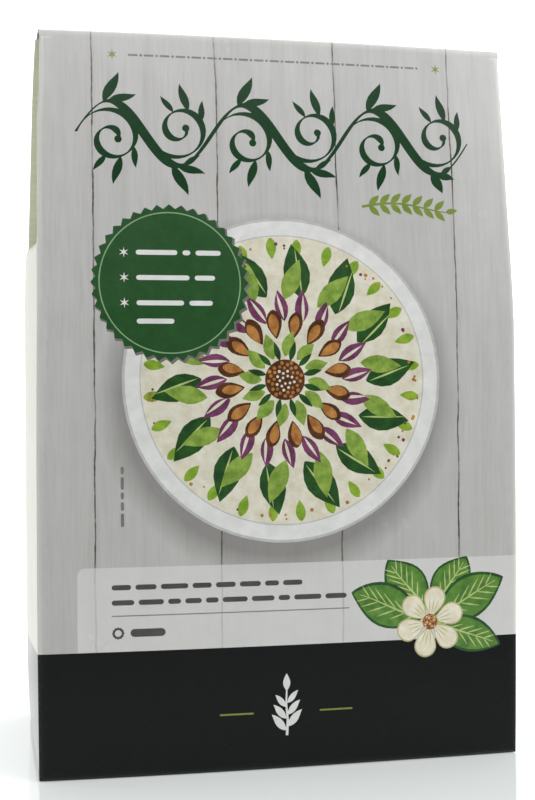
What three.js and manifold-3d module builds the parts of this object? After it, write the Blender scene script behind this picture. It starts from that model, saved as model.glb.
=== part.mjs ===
// A glued folding carton with a ridge top, and the sealed food pouch that it holds.
//
// The carton is one blank of folding boxboard: four walls, a roof whose two leaning panels meet in a ridge,
// a curved gusset folded in under the roof at each side, a closing flap glued down the back of the roof,
// a glued seam inside one back corner, and four bottom flaps.
//
// Millimetres. +Z is up, the front panel faces -Y and +X is to the right seen from the front.
// The origin is the middle of the base, on the surface that the carton stands on.

import * as THREE from 'three';
import * as BufferGeometryUtils from 'three/addons/utils/BufferGeometryUtils.js';
import Module from 'manifold-3d';

const wasm = await Module();
wasm.setup();

// ---------------------------------------------------------------- driving dimensions

const WIDTH = 125;              // front panel, crease to crease
const DEPTH = 75;               // side panel, crease to crease
const HEIGHT = 189;             // table to ridge
const BOARD = 0.6;              // thickness of the board
const LAYER_GAP = 0.3;          // air or glue between two layers of board
const FOLD_RADIUS = 1.1;        // outside of an upright fold

const FRONT_LEAN = 7.8;         // how far the ridge stands behind the foot of the front panel
const FRONT_LEAN_START = 117;   // height where the front panel begins to lean back
const FRONT_LEAN_CURVE = 0.17;  // share of that lean that comes as a curve, not as a straight slope
const RIDGE_THICKNESS = 2;      // board layers pressed together along the ridge

const SHOULDER_FRONT = 132.5;   // gusset crease on a side panel, at its front end
const SHOULDER_BACK = 119;      // the same crease at its back end, where the back panel turns into the roof
const GUSSET_SLOPE = 0.06;      // how steeply the gusset leaves the side panel, inwards per height
const GUSSET_DEPTH = 28;        // further depth that it reaches at GUSSET_REACH above the crease
const GUSSET_REACH = 60;
const GUSSET_POWER = 1.9;
const GUSSET_TOP_GAP = 1.5;     // the open fold of the gusset ends this far under the ridge

const FRONT_BULGE = 1.6;        // how far the filled carton bows at the middle of the front and the back
const SIDE_BULGE = 2.1;         // and at the middle of each side panel, just under the gusset
const TOP_NARROWING = 0.65;     // how far the fold of each gusset draws the roof's side edges in at the ridge
const NARROWING_START = 80;

const CLOSING_FLAP_DROP = 13;   // height that the closing flap covers on the back of the roof
const CLOSING_FLAP_INSET = 3.5; // its ends stand this far in from the side edges
const CLOSING_FLAP_TAPER = 0.4; // and run in by this much for each millimetre of drop

const SEAM_FLAP_WIDTH = 15;
const SEAM_FLAP_MARGIN = 5;     // from its ends to the base and to the roof
const INNER_FLAP_LENGTH = 44;   // bottom flap hinged on the back panel
const DUST_FLAP_LENGTH = 38;    // bottom flaps hinged on the side panels
const FLAP_CLEARANCE = 1;       // from a bottom flap's free edge to the walls
const FLAP_CHAMFER = 6;         // cut corners of the dust flaps

const POUCH_WIDTH = 104;
const POUCH_TOP = 150;
const POUCH_THICKNESS = 26;     // where it is fullest
const POUCH_SEAL = 1.2;         // thickness of the pressed seals, with the crimp
const POUCH_FILL_TOP = 122;     // height that the food reaches
const CHUNK_SIZE = 25;          // spacing of the food's lumps under the film
const CHUNK_RELIEF = 1.6;

// ---------------------------------------------------------------- steps of the faceted surfaces

const FRONT_STEPS = 8;
const SIDE_STEPS = 6;
const CORNER_STEPS = 2;
const WALL_LEVELS = [0, 16, 40, 70, 95, 110];
const ROOF_STEPS = 9;
const MARGIN = 8;               // how far a cutting solid runs past what it cuts

const halfWidth = WIDTH / 2;
const halfDepth = DEPTH / 2;
const ridgeFront = -halfDepth + FRONT_LEAN;

// ---------------------------------------------------------------- surfaces of the folded board

const clamp01 = (value) => Math.min(1, Math.max(0, value));

// 1 along the middle of a panel and 0 at its two creases
const bow = (across) => 1 - Math.min(1, Math.abs(across)) ** 2;

// half the width of the front and back panels at a height
function halfWidthAt(z) {
  return halfWidth - TOP_NARROWING * clamp01((z - NARROWING_START) / (HEIGHT - NARROWING_START));
}

// outside of the front panel
function frontY(x, z) {
  const up = clamp01((z - FRONT_LEAN_START) / (HEIGHT - FRONT_LEAN_START));
  const lean = FRONT_LEAN * ((1 - FRONT_LEAN_CURVE) * up + FRONT_LEAN_CURVE * up ** 2);
  return -halfDepth + lean - FRONT_BULGE * bow(x / halfWidthAt(z));
}

// outside of the back panel and, above the shoulder, of the roof's back
function backY(x, z) {
  const up = clamp01((z - SHOULDER_BACK) / (HEIGHT - SHOULDER_BACK));
  const middle = halfDepth + (ridgeFront + RIDGE_THICKNESS - halfDepth) * up;
  return middle + FRONT_BULGE * (1 - 2 * up) * bow(x / halfWidthAt(z));
}

// length of the back's surface for each millimetre of height
function backStretch(z) {
  const run = halfDepth - ridgeFront - RIDGE_THICKNESS;
  return z > SHOULDER_BACK ? Math.hypot(1, run / (HEIGHT - SHOULDER_BACK)) : 1;
}

// height of the gusset's crease across the side panel
function creaseZ(y) {
  const back = clamp01((y + halfDepth) / DEPTH);
  return SHOULDER_FRONT + (SHOULDER_BACK - SHOULDER_FRONT) * back;
}

// outside of a side panel, as a distance from the middle plane
function sideX(y, z) {
  const rise = clamp01(z / SHOULDER_BACK) ** 0.5;
  const fall = 1 - clamp01((z - SHOULDER_FRONT) / (HEIGHT - SHOULDER_FRONT));
  return halfWidthAt(z) + SIDE_BULGE * rise * fall * bow(y / halfDepth);
}

// how far the gusset lies inside the line of the side panel, and how steep it is there
function gussetDepth(y, z) {
  const up = z - creaseZ(y);
  if (up < 0) return GUSSET_SLOPE * 6 * up;
  return GUSSET_SLOPE * up + GUSSET_DEPTH * (up / GUSSET_REACH) ** GUSSET_POWER;
}

function gussetStretch(y, z) {
  const up = Math.max(0, z - creaseZ(y));
  const slope = GUSSET_SLOPE
    + (GUSSET_DEPTH * GUSSET_POWER / GUSSET_REACH) * (up / GUSSET_REACH) ** (GUSSET_POWER - 1);
  return Math.hypot(1, slope);
}

// ---------------------------------------------------------------- solids from grids of points

function toManifold(geometry) {
  const bare = geometry.clone();
  bare.deleteAttribute('normal');
  bare.deleteAttribute('uv');
  const merged = BufferGeometryUtils.mergeVertices(bare, 1e-5);
  return new wasm.Manifold(new wasm.Mesh({
    numProp: 3,
    vertProperties: Float32Array.from(merged.attributes.position.array),
    triVerts: Uint32Array.from(merged.index.array),
  }));
}

function toGeometry(manifold) {
  const mesh = manifold.getMesh();
  const geometry = new THREE.BufferGeometry();
  geometry.setAttribute('position', new THREE.BufferAttribute(Float32Array.from(mesh.vertProperties), 3));
  geometry.setIndex(new THREE.BufferAttribute(Uint32Array.from(mesh.triVerts), 1));
  geometry.computeVertexNormals();
  return geometry;
}

function geometryOf(points, triangles) {
  const geometry = new THREE.BufferGeometry();
  geometry.setAttribute('position', new THREE.Float32BufferAttribute(points.flat(), 3));
  geometry.setIndex(triangles);
  return geometry;
}

// a stack of level rings, counter-clockwise seen from above, closed at both ends by a fan
function ringStack(rings) {
  const points = rings.flat();
  const count = rings[0].length;
  const triangles = [];
  for (let level = 0; level + 1 < rings.length; level += 1) {
    for (let i = 0; i < count; i += 1) {
      const a = level * count + i;
      const b = level * count + (i + 1) % count;
      triangles.push(a, b, a + count, b, b + count, a + count);
    }
  }
  const middleOf = (ring) => [0, 1, 2].map((k) => ring.reduce((sum, point) => sum + point[k], 0) / count);
  const bottom = points.push(middleOf(rings[0])) - 1;
  const top = points.push(middleOf(rings[rings.length - 1])) - 1;
  const last = (rings.length - 1) * count;
  for (let i = 0; i < count; i += 1) {
    triangles.push(bottom, (i + 1) % count, i);
    triangles.push(top, last + i, last + (i + 1) % count);
  }
  return toManifold(geometryOf(points, triangles));
}

// a thick sheet: outside(u, v) and inside(u, v) give its two faces, u and v from 0 to 1.
// Seen from outside, u runs to the right and v runs up.
function thickSheet(uSteps, vSteps, outside, inside) {
  const points = [];
  for (const face of [outside, inside]) {
    for (let j = 0; j <= vSteps; j += 1) {
      for (let i = 0; i <= uSteps; i += 1) points.push(face(i / uSteps, j / vSteps));
    }
  }
  const row = uSteps + 1;
  const inner = row * (vSteps + 1);
  const triangles = [];
  const quad = (a, b, c, d) => triangles.push(a, b, c, a, c, d);
  for (let j = 0; j < vSteps; j += 1) {
    for (let i = 0; i < uSteps; i += 1) {
      const a = j * row + i;
      quad(a, a + 1, a + row + 1, a + row);
      quad(inner + a, inner + a + row, inner + a + row + 1, inner + a + 1);
    }
  }
  const edge = (a, b) => quad(a, inner + a, inner + b, b);
  for (let i = 0; i < uSteps; i += 1) {
    edge(i, i + 1);
    edge(vSteps * row + i + 1, vSteps * row + i);
  }
  for (let j = 0; j < vSteps; j += 1) {
    edge((j + 1) * row, j * row);
    edge(j * row + uSteps, (j + 1) * row + uSteps);
  }
  return toManifold(geometryOf(points, triangles));
}

function box(x0, x1, y0, y1, z0, z1) {
  const geometry = new THREE.BoxGeometry(x1 - x0, y1 - y0, z1 - z0);
  geometry.translate((x0 + x1) / 2, (y0 + y1) / 2, (z0 + z1) / 2);
  return toManifold(geometry);
}

// a flat plate with a given outline
function plate(outline, z0, z1) {
  const shape = new THREE.Shape(outline.map(([x, y]) => new THREE.Vector2(x, y)));
  const geometry = new THREE.ExtrudeGeometry(shape, { depth: z1 - z0, bevelEnabled: false });
  geometry.translate(0, 0, z0);
  return toManifold(geometry);
}

const mix = (a, b, t) => a + (b - a) * t;

// ---------------------------------------------------------------- the carton

// level cut through the carton's outline at a height, drawn in by an inset
function outlineRing(z, inset) {
  const ring = [];
  const half = halfWidthAt(z) - inset;
  const y0 = frontY(half, z) + inset;
  const y1 = backY(half, z) - inset * backStretch(z);
  const radius = Math.min(Math.max(FOLD_RADIUS - inset, 0.3), (y1 - y0) * 0.3);
  const corner = (cx, cy, start) => {
    for (let i = 1; i < CORNER_STEPS; i += 1) {
      const angle = start + (i / CORNER_STEPS) * (Math.PI / 2);
      ring.push([cx + radius * Math.cos(angle), cy + radius * Math.sin(angle), z]);
    }
  };
  const along = (steps, pointAt) => {
    for (let i = 0; i <= steps; i += 1) ring.push(pointAt(i / steps));
  };
  const straight = half - radius;
  const across = (t) => mix(-straight, straight, t);
  const deep = (t) => mix(y0 + radius, y1 - radius, t);
  along(FRONT_STEPS, (t) => [across(t), frontY(across(t), z) + inset, z]);
  corner(straight, y0 + radius, -Math.PI / 2);
  along(SIDE_STEPS, (t) => [sideX(deep(t), z) - inset, deep(t), z]);
  corner(straight, y1 - radius, 0);
  along(FRONT_STEPS, (t) => [across(1 - t), backY(across(1 - t), z) - inset * backStretch(z), z]);
  corner(-straight, y1 - radius, Math.PI / 2);
  along(SIDE_STEPS, (t) => [inset - sideX(deep(1 - t), z), deep(1 - t), z]);
  corner(-straight, y0 + radius, Math.PI);
  return ring;
}

// the carton as a full solid, before its hollow and its gussets
function outlineSolid(inset, bottom, top) {
  const levels = WALL_LEVELS.map((z) => Math.max(z, bottom));
  for (let i = 0; i <= ROOF_STEPS; i += 1) levels.push(mix(SHOULDER_BACK, top, i / ROOF_STEPS));
  if (bottom < 0) levels[0] = bottom;
  return ringStack(levels.map((z) => outlineRing(z, inset)));
}

// what the gusset takes away on one side (side is 1 for +X, -1 for -X). fold is the thickness left on the
// roof's front and back, and board is how much further in the surface lies.
function gussetSpace(side, fold, board) {
  const low = SHOULDER_BACK - MARGIN;
  const top = HEIGHT - GUSSET_TOP_GAP;
  const at = (u, v, reach) => {
    const z = mix(low, top, v);
    const y = mix(frontY(halfWidth, z) + fold, backY(halfWidth, z) - fold * backStretch(z), u);
    const inner = sideX(y, z) - gussetDepth(y, z) - board * gussetStretch(y, z);
    return [side * (reach ? halfWidth + MARGIN : inner), y, z];
  };
  // on -X the columns run the other way, so that the faces still point out
  const column = (u) => (side > 0 ? u : 1 - u);
  return thickSheet(
    SIDE_STEPS + 2,
    ROOF_STEPS + 3,
    (u, v) => at(column(u), v, true),
    (u, v) => at(column(u), v, false),
  );
}

// closing flap: the front panel's end, wrapped over the ridge and glued down the back of the roof
function closingFlap() {
  const sink = 0.15;
  const at = (u, v, out) => {
    const drop = CLOSING_FLAP_DROP * (1 - v);
    const z = HEIGHT - drop;
    const half = halfWidthAt(z) - CLOSING_FLAP_INSET - CLOSING_FLAP_TAPER * drop;
    const x = mix(half, -half, u);
    return [x, backY(x, z) + out * backStretch(z), z];
  };
  return thickSheet(FRONT_STEPS, 3, (u, v) => at(u, v, BOARD), (u, v) => at(u, v, -sink));
}

// seam flap: folded from the back panel's edge, lying inside the right side panel
function seamFlap() {
  const z0 = SEAM_FLAP_MARGIN;
  const z1 = SHOULDER_BACK - SEAM_FLAP_MARGIN;
  const at = (u, v, depth) => {
    const taper = 2 * SEAM_FLAP_MARGIN * (1 - u);
    const z = mix(z0 + taper / 2, z1 - taper / 2, v);
    const y = mix(halfDepth - SEAM_FLAP_WIDTH, halfDepth - BOARD / 2, u);
    return [sideX(y, z) - BOARD - LAYER_GAP - depth, y, z];
  };
  return thickSheet(3, 5, (u, v) => at(u, v, 0), (u, v) => at(u, v, BOARD));
}

function seamSlit() {
  const y1 = halfDepth - BOARD;
  return box(halfWidth - BOARD - 0.05, halfWidth + MARGIN, y1 - LAYER_GAP, y1, -1, SHOULDER_BACK - 1);
}

// bottom flaps, from the outermost layer up
const outerFlap = [0, BOARD];
const innerFlap = [BOARD + LAYER_GAP, 2 * BOARD + LAYER_GAP];
const dustFlap = [2 * (BOARD + LAYER_GAP), 3 * BOARD + 2 * LAYER_GAP];

function outerBottomFlap() {
  const front = [];
  for (let i = 0; i <= FRONT_STEPS; i += 1) {
    const x = mix(-halfWidth + FOLD_RADIUS, halfWidth - FOLD_RADIUS, i / FRONT_STEPS);
    front.push([x, frontY(x, 0) + BOARD / 3]);
  }
  const edge = halfWidth - FLAP_CLEARANCE / 2;
  const rear = halfDepth - FLAP_CLEARANCE / 2;
  return plate([...front, [edge, -halfDepth + FOLD_RADIUS + 1], [edge, rear], [-edge, rear],
    [-edge, -halfDepth + FOLD_RADIUS + 1]], ...outerFlap);
}

function innerBottomFlap() {
  const rear = [];
  for (let i = 0; i <= FRONT_STEPS; i += 1) {
    const x = mix(halfWidth - FOLD_RADIUS, -halfWidth + FOLD_RADIUS, i / FRONT_STEPS);
    rear.push([x, backY(x, 0) - BOARD / 3]);
  }
  const edge = halfWidth - FLAP_CLEARANCE;
  const free = halfDepth - INNER_FLAP_LENGTH;
  return plate([[-edge, free], [edge, free], ...rear], ...innerFlap);
}

function dustBottomFlap(side) {
  const free = halfWidth - DUST_FLAP_LENGTH;
  const y = halfDepth - BOARD - FLAP_CLEARANCE;
  const outline = [[free, -y + FLAP_CHAMFER], [free + FLAP_CHAMFER, -y], [halfWidth - BOARD / 2, -y],
    [halfWidth - BOARD / 2, y], [free + FLAP_CHAMFER, y], [free, y - FLAP_CHAMFER]];
  const turned = outline.map(([px, py]) => [side * px, py]);
  return plate(side > 0 ? turned : turned.reverse(), ...dustFlap);
}

function cartonSolid() {
  const hollowTop = HEIGHT - 3;
  let hollow = outlineSolid(BOARD, -MARGIN, hollowTop);
  let carton = outlineSolid(0, 0, HEIGHT);
  for (const side of [1, -1]) {
    hollow = hollow.subtract(gussetSpace(side, -MARGIN, BOARD));
    carton = carton.subtract(gussetSpace(side, 2 * BOARD, 0));
  }
  carton = carton.subtract(hollow);

  // the side and back walls end above the flaps that are hinged on the front and the back
  const wide = halfWidth + MARGIN;
  const foldFront = -halfDepth + FOLD_RADIUS;
  carton = carton.subtract(box(-wide, wide, halfDepth - 3, halfDepth + MARGIN, -1, innerFlap[0]));
  carton = carton.subtract(box(halfWidth - 3, wide, foldFront, halfDepth - BOARD, -1, dustFlap[0]));
  carton = carton.subtract(box(-wide, 3 - halfWidth, foldFront, halfDepth - BOARD, -1, dustFlap[0]));
  carton = carton.subtract(seamSlit());

  for (const flap of [outerBottomFlap(), innerBottomFlap(), dustBottomFlap(1), dustBottomFlap(-1)]) {
    carton = carton.add(flap);
  }
  return carton.add(seamFlap()).add(closingFlap());
}

// ---------------------------------------------------------------- the pouch

// half the pouch's thickness: food below, pressed seals at the sides and along the top
function pouchHalf(x, z) {
  const across = clamp01(1 - Math.abs(2 * x / POUCH_WIDTH) ** 2.6);
  const up = (z - pouchFoot) / (POUCH_FILL_TOP - pouchFoot);
  const filled = up >= 1 ? 0 : (1 - up ** 3) * (0.86 + 0.14 * Math.sin(Math.PI * Math.min(1, up * 2)));
  const turn = 2 * Math.PI / CHUNK_SIZE;
  const lumps = CHUNK_RELIEF * Math.cos(turn * x + 0.8) * Math.cos(turn * z) * Math.sign(filled);
  const food = Math.max(0, POUCH_THICKNESS / 2 * filled + lumps * filled) * across ** 0.7;
  return POUCH_SEAL / 2 + food;
}

const pouchFoot = dustFlap[1] + LAYER_GAP;
const POUCH_MIDDLE = -6;        // the pouch leans towards the front, clear of the sloping roof

function pouchSolid() {
  const at = (u, v, face) => {
    const x = mix(-POUCH_WIDTH / 2, POUCH_WIDTH / 2, u);
    const z = mix(pouchFoot, POUCH_TOP, v);
    return [x, POUCH_MIDDLE + face * pouchHalf(x, z), z];
  };
  return thickSheet(16, 22, (u, v) => at(u, v, -1), (u, v) => at(u, v, 1));
}

// ---------------------------------------------------------------- the part

function piece(name, manifold, material) {
  const mesh = new THREE.Mesh(toGeometry(manifold), new THREE.MeshStandardMaterial(material));
  mesh.name = name;
  return mesh;
}

const part = new THREE.Group();
part.add(
  piece('carton', cartonSolid(), { color: 0xc4c3bf, roughness: 0.5, metalness: 0 }),
  piece('food_pouch', pouchSolid(), { color: 0xd9dcdc, roughness: 0.3, metalness: 0 }),
);

export default part;
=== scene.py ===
# %% [markdown]
# # A folding carton with a ridge top
# The object is a food carton made of one sheet of coated paperboard. It is printed flat, cut, creased,
# folded and glued: four walls, a flat base of four flaps, a roof whose back leans forward to a ridge,
# and a gusset at each side that folds in under the roof. A sealed pouch of food stands inside.
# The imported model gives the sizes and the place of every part. This file gives the looks around it.

import math
import random

import bmesh
import bpy
import numpy as np
from mathutils import Matrix, Vector
from mathutils.geometry import delaunay_2d_cdt


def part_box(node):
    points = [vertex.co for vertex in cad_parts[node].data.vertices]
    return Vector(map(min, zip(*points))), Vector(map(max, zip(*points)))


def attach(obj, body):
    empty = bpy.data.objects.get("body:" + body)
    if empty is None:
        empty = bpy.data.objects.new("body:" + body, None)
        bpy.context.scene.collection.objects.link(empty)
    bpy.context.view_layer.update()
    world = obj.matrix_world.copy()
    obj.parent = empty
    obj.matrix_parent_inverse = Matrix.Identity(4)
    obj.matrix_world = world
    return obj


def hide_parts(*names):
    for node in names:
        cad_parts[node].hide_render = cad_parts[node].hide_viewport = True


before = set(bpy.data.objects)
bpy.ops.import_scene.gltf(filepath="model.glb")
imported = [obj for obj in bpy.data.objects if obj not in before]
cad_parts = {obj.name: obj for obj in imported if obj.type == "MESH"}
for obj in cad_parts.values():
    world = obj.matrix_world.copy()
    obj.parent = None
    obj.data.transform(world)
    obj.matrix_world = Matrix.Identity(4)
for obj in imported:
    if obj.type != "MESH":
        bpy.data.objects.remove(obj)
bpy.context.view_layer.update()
print("nodes:", sorted(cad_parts))

# %% [markdown]
# ## Sizes
# A carton maker works in millimetres on the flat blank, so this file does too, and turns to metres where
# a mesh or the camera is made. The floor and the lamps are given in metres. Height, width and depth could
# be typed in again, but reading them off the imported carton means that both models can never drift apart.
# What is left to name here are the small things that a crease or a bulge needs.

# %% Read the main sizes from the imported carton
MM = 0.001
carton_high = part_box("carton")[1]

BOARD = 0.6                # thickness of the board
LAYER_GAP = 0.3            # air between two layers
FOLD_RADIUS = 1.1          # outside of an upright fold
FRONT_BULGE = 1.6          # the filled carton's bow at the middle of the front and the back
SIDE_BULGE = 2.1           # and at the middle of a side, just under the gusset
LOW_BULGE = 0.86           # share of the side's bulge that is there low down already,
LOW_BULGE_RISE = 13.0      # which it nears over a few times this height above the foot
SHOULDER_FRONT = 132.5     # gusset crease at its front end
SHOULDER_BACK = 119.0      # and at its back end, where the back turns into the roof
TOP_NARROWING = 0.65       # the gussets draw the roof's side edges in by this much at the ridge
NARROWING_START = 80.0

HEIGHT = carton_high.z / MM
HALF_DEPTH = carton_high.y / MM - FRONT_BULGE
narrowed = TOP_NARROWING * (SHOULDER_BACK - NARROWING_START) / (HEIGHT - NARROWING_START)
HALF_WIDTH = carton_high.x / MM - SIDE_BULGE + narrowed
print(f"front {2 * HALF_WIDTH:.1f}, side {2 * HALF_DEPTH:.1f}, height {HEIGHT:.1f} mm")

# %% [markdown]
# ## Camera
# A camera could be aimed at a target with a constraint, but a camera held by hand has a little roll and
# tilt that a target cannot hold. So the camera gets its place and its three turns as they are:
# it stands in front and to the left, at half the carton's height, and looks almost level.

# %% Place the camera
CAMERA_PLACE = Vector((-74.2, -372.2, 93.6))
CAMERA_TURN = math.radians(11.80)      # to the right of straight on
CAMERA_TILT = math.radians(0.11)       # upwards
CAMERA_ROLL = math.radians(-0.34)
LENS = 60.1                            # millimetres, for a 36 mm sensor on the long side

camera_data = bpy.data.cameras.new("camera")
camera_data.lens = LENS
camera_data.sensor_width = 36.0
camera_data.clip_start = 0.01
camera = bpy.data.objects.new("camera", camera_data)
bpy.context.scene.collection.objects.link(camera)
camera.location = CAMERA_PLACE * MM
aim = Matrix.Rotation(-CAMERA_TURN, 4, "Z") @ Matrix.Rotation(math.pi / 2 + CAMERA_TILT, 4, "X")
camera.rotation_euler = (aim @ Matrix.Rotation(CAMERA_ROLL, 4, "Z")).to_euler()
bpy.context.scene.camera = camera
print("camera at", tuple(round(c, 3) for c in camera.location))

# %% [markdown]
# ## The folded walls as formulas
# Board bends in one direction only, so each panel of a folded carton is a simple curved sheet. It could be
# modelled by hand with a lattice, but a formula for each wall gives every print shape, crease and layer
# the same surface to lie on. All of them are put together from a few small curves.

# %% Helpers for curves
CREASE_ROUNDING = 1.4      # how far a pressed crease spreads to either side


def share(value, start, end):
    """How far value has come from start to end, kept between 0 and 1."""
    return min(1.0, max(0.0, (value - start) / (end - start)))


def mix(a, b, t):
    return a + (b - a) * t


def eased(t):
    """The same way from 0 to 1, with a soft start and a soft end."""
    return t ** 2 * (3 - 2 * t)


def bow(across):
    """1 along the middle of a panel and 0 at its two creases."""
    return 1.0 - min(1.0, abs(across)) ** 2


def crease_bend(height):
    """A slope that starts at 0, with its first stretch rounded as a pressed crease is."""
    if height < -CREASE_ROUNDING:
        return 0.0
    if height > CREASE_ROUNDING:
        return height
    return (height + CREASE_ROUNDING) ** 2 / (4 * CREASE_ROUNDING)


print("a crease's rounded slope starts at 0, at its line it is", crease_bend(0.0), "mm")

# %% [markdown]
# ## The front and the back
# The front is upright and leans back near the top. The back turns into the roof at the shoulder, and both
# meet at the ridge. The full pouch bows them out. A bow could be sculpted, but as part of the formula it
# dies away by itself at the upright folds and at the ridge.

# %% Formulas for the front and the back
FRONT_LEAN = 7.8           # the ridge stands this far behind the foot of the front
FRONT_LEAN_START = 117.0
FRONT_LEAN_CURVE = 0.17    # share of the lean that comes as a curve
RIDGE_THICKNESS = 2.6      # four layers pressed together
RIDGE_FRONT = FRONT_LEAN - HALF_DEPTH
ROOF_SPREAD = 0.68         # the gussets' folds push the roof's side edges out by this much,
ROOF_SPREAD_START = 10     # from this far under the shoulder
ROOF_SPREAD_Z = 134.0      # up to this height


def half_width(z):
    """From the middle of the front to its upright folds."""
    return HALF_WIDTH - TOP_NARROWING * share(z, NARROWING_START, HEIGHT)


def back_half_width(z):
    """The same for the back, whose roof part the gussets' folds spread."""
    return half_width(z) + ROOF_SPREAD * eased(share(z, SHOULDER_BACK - ROOF_SPREAD_START, ROOF_SPREAD_Z))


def front_y(x, z):
    up = share(z, FRONT_LEAN_START, HEIGHT)
    lean = FRONT_LEAN * ((1 - FRONT_LEAN_CURVE) * up + FRONT_LEAN_CURVE * up ** 2)
    return lean - HALF_DEPTH - FRONT_BULGE * bow(x / half_width(z))


def back_y(x, z):
    up = min(1.0, crease_bend(z - SHOULDER_BACK) / (HEIGHT - SHOULDER_BACK))
    middle = HALF_DEPTH + (RIDGE_FRONT + RIDGE_THICKNESS - HALF_DEPTH) * up
    return middle + FRONT_BULGE * (1 - 2 * up) * bow(x / half_width(z))


def roof_stretch(z):
    """Millimetres of board for each millimetre of height on the back."""
    run = HALF_DEPTH - RIDGE_FRONT - RIDGE_THICKNESS
    return math.hypot(1, run / (HEIGHT - SHOULDER_BACK)) if z > SHOULDER_BACK else 1.0


print(f"roof slope {math.degrees(math.acos(1 / roof_stretch(HEIGHT))):.0f} degrees from upright")

# %% [markdown]
# ## The sides and their gussets
# The sides bulge, and above a slanted crease they fold in under the roof as the gusset. On an empty carton
# the gusset would go in evenly. Here the full pouch holds its foot out, so it leans in a little, then dives
# and joins the even curve higher up. It is given as a depth inside the side, because then the side's own
# bulge carries on into it.

# %% Formulas for the sides and the gussets
GUSSET_SLOPE = 0.06        # the gusset goes in by this slope and by a curve,
GUSSET_DEPTH = 28.0        # which is this deep
GUSSET_REACH = 60.0        # at this height above the crease
GUSSET_POWER = 1.9
GUSSET_LEAN = 0.03         # where the pouch holds it out it leans in by this slope only,
HELD_LEVEL = 133.1         # up to this level at the front fold,
HELD_RISE = 0.04           # which rises by this slope towards the back
DIVE_HEIGHT = 3.6          # then it dives in over this height,
DIVE = 4.2                 # by this much more than the curve,
DIVE_FADE = (10, 45)       # which fades out between these heights above the crease


def crease_z(y):
    """The height of the crease that the gusset hangs on."""
    return mix(SHOULDER_FRONT, SHOULDER_BACK, share(y, -HALF_DEPTH, HALF_DEPTH))


def side_x(y, z):
    rise = LOW_BULGE * (1 - math.exp(-z / LOW_BULGE_RISE))
    rise += (1 - LOW_BULGE) * share(z, NARROWING_START, SHOULDER_BACK)
    fall = 1 - share(z, SHOULDER_FRONT, HEIGHT)
    return half_width(z) + SIDE_BULGE * rise * fall * bow(y / HALF_DEPTH)


def gusset_in(y, z):
    """How far the gusset lies inside the line of the side."""
    up = crease_bend(z - crease_z(y))
    held = max(0.0, HELD_LEVEL + HELD_RISE * (y + HALF_DEPTH) - crease_z(y))
    dived = eased(share(up, held, held + DIVE_HEIGHT))
    curve = GUSSET_SLOPE * up + GUSSET_DEPTH * (up / GUSSET_REACH) ** GUSSET_POWER
    return mix(GUSSET_LEAN * up, curve + DIVE * (1 - share(up, *DIVE_FADE)), dived)


print(f"gusset {gusset_in(RIDGE_FRONT, HEIGHT):.0f} mm deep under the ridge")

# %% [markdown]
# ## Drawing the print
# A printer's artwork is a stack of flat shapes, and later inks cover earlier ones. It could be an image, but
# shapes stay sharp at any distance and need no file. Each shape here is a closed outline in
# millimetres on the panel, x to the right and z up, kept with the name of its ink. A few small helpers draw
# all of it, first the round and the leafy ones: a disc, a toothed disc, a ribbon that tapers and a leaf.

# %% Helpers for discs, ribbons and leaves
def circle_point(x, z, radius, angle):
    return (x + radius * math.cos(angle), z + radius * math.sin(angle))


def disc(x, z, radius, steps=40):
    return [circle_point(x, z, radius, math.tau * i / steps) for i in range(steps)]


def toothed_disc(x, z, radius, teeth, depth):
    """A seal's edge: a point and a hollow for each tooth."""
    turn = math.tau / (2 * teeth)
    return [circle_point(x, z, radius - depth * (i % 2), turn * i) for i in range(2 * teeth)]


def ribbon(middle, widths):
    """The outline of a band that follows a middle line and has a width at each of its points."""
    left, right = [], []
    for i, (x, z) in enumerate(middle):
        before = middle[max(0, i - 1)]
        after = middle[min(len(middle) - 1, i + 1)]
        along = Vector((after[0] - before[0], after[1] - before[1])).normalized()
        half = widths[i] / 2
        left.append((x - along.y * half, z + along.x * half))
        right.append((x + along.y * half, z - along.x * half))
    return left + right[::-1]


def leaf_line(x, z, angle, length, bend, t):
    """A point of the leaf's middle line, t from 0 at its foot to 1 at its tip."""
    reach, aside = t * length, bend * length * math.sin(math.pi * t / 2) ** 2
    c, s = math.cos(angle), math.sin(angle)
    return (x + reach * c - aside * s, z + reach * s + aside * c)


LEAF_BELLY = 0.85          # below 1, a leaf is widest below its middle
LEAF_POINT = 0.02          # width of its very tip


def leaf(x, z, angle, length, width, bend=0.0, blunt=1.0, steps=9):
    """A pointed oval that grows from (x, z). bend curves its middle line, blunt above 1 rounds its tip."""
    middle, widths = [], []
    for i in range(steps + 1):
        t = math.sin(math.pi / 2 * i / steps) ** 2      # closer together at both ends
        middle.append(leaf_line(x, z, angle, length, bend, t))
        fullness = max(0.0, math.sin(math.pi * t ** (LEAF_BELLY * blunt))) ** (1 / blunt)
        widths.append(max(LEAF_POINT, width * fullness))
    return ribbon(middle, widths)


print("a leaf has", len(leaf(0, 0, 0, 5, 2)), "points")

# %% [markdown]
# ## Small strokes, and the stack of inks
# Bars with round ends stand in for words, asterisks for bullets, and a spiral is the middle line of a
# tendril. The stack itself is a plain list for each panel. Later shapes cover earlier ones, so the order of
# the calls below is the order of printing.

# %% Helpers for small strokes, and the stack
def box_outline(left, foot, right, head):
    return [(left, foot), (right, foot), (right, head), (left, head)]


def bar(x0, z0, x1, height, turn=0.0):
    """A bar with round ends, from x0 to x1, turned about its start."""
    radius, steps = height / 2, 5
    outline = []
    for centre, start in ((x1 - radius, -math.pi / 2), (x0 + radius, math.pi / 2)):
        for i in range(steps + 1):
            outline.append(circle_point(centre, z0, radius, start + math.pi * i / steps))
    c, s = math.cos(turn), math.sin(turn)
    return [(x0 + (px - x0) * c - (pz - z0) * s, z0 + (px - x0) * s + (pz - z0) * c) for px, pz in outline]


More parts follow.
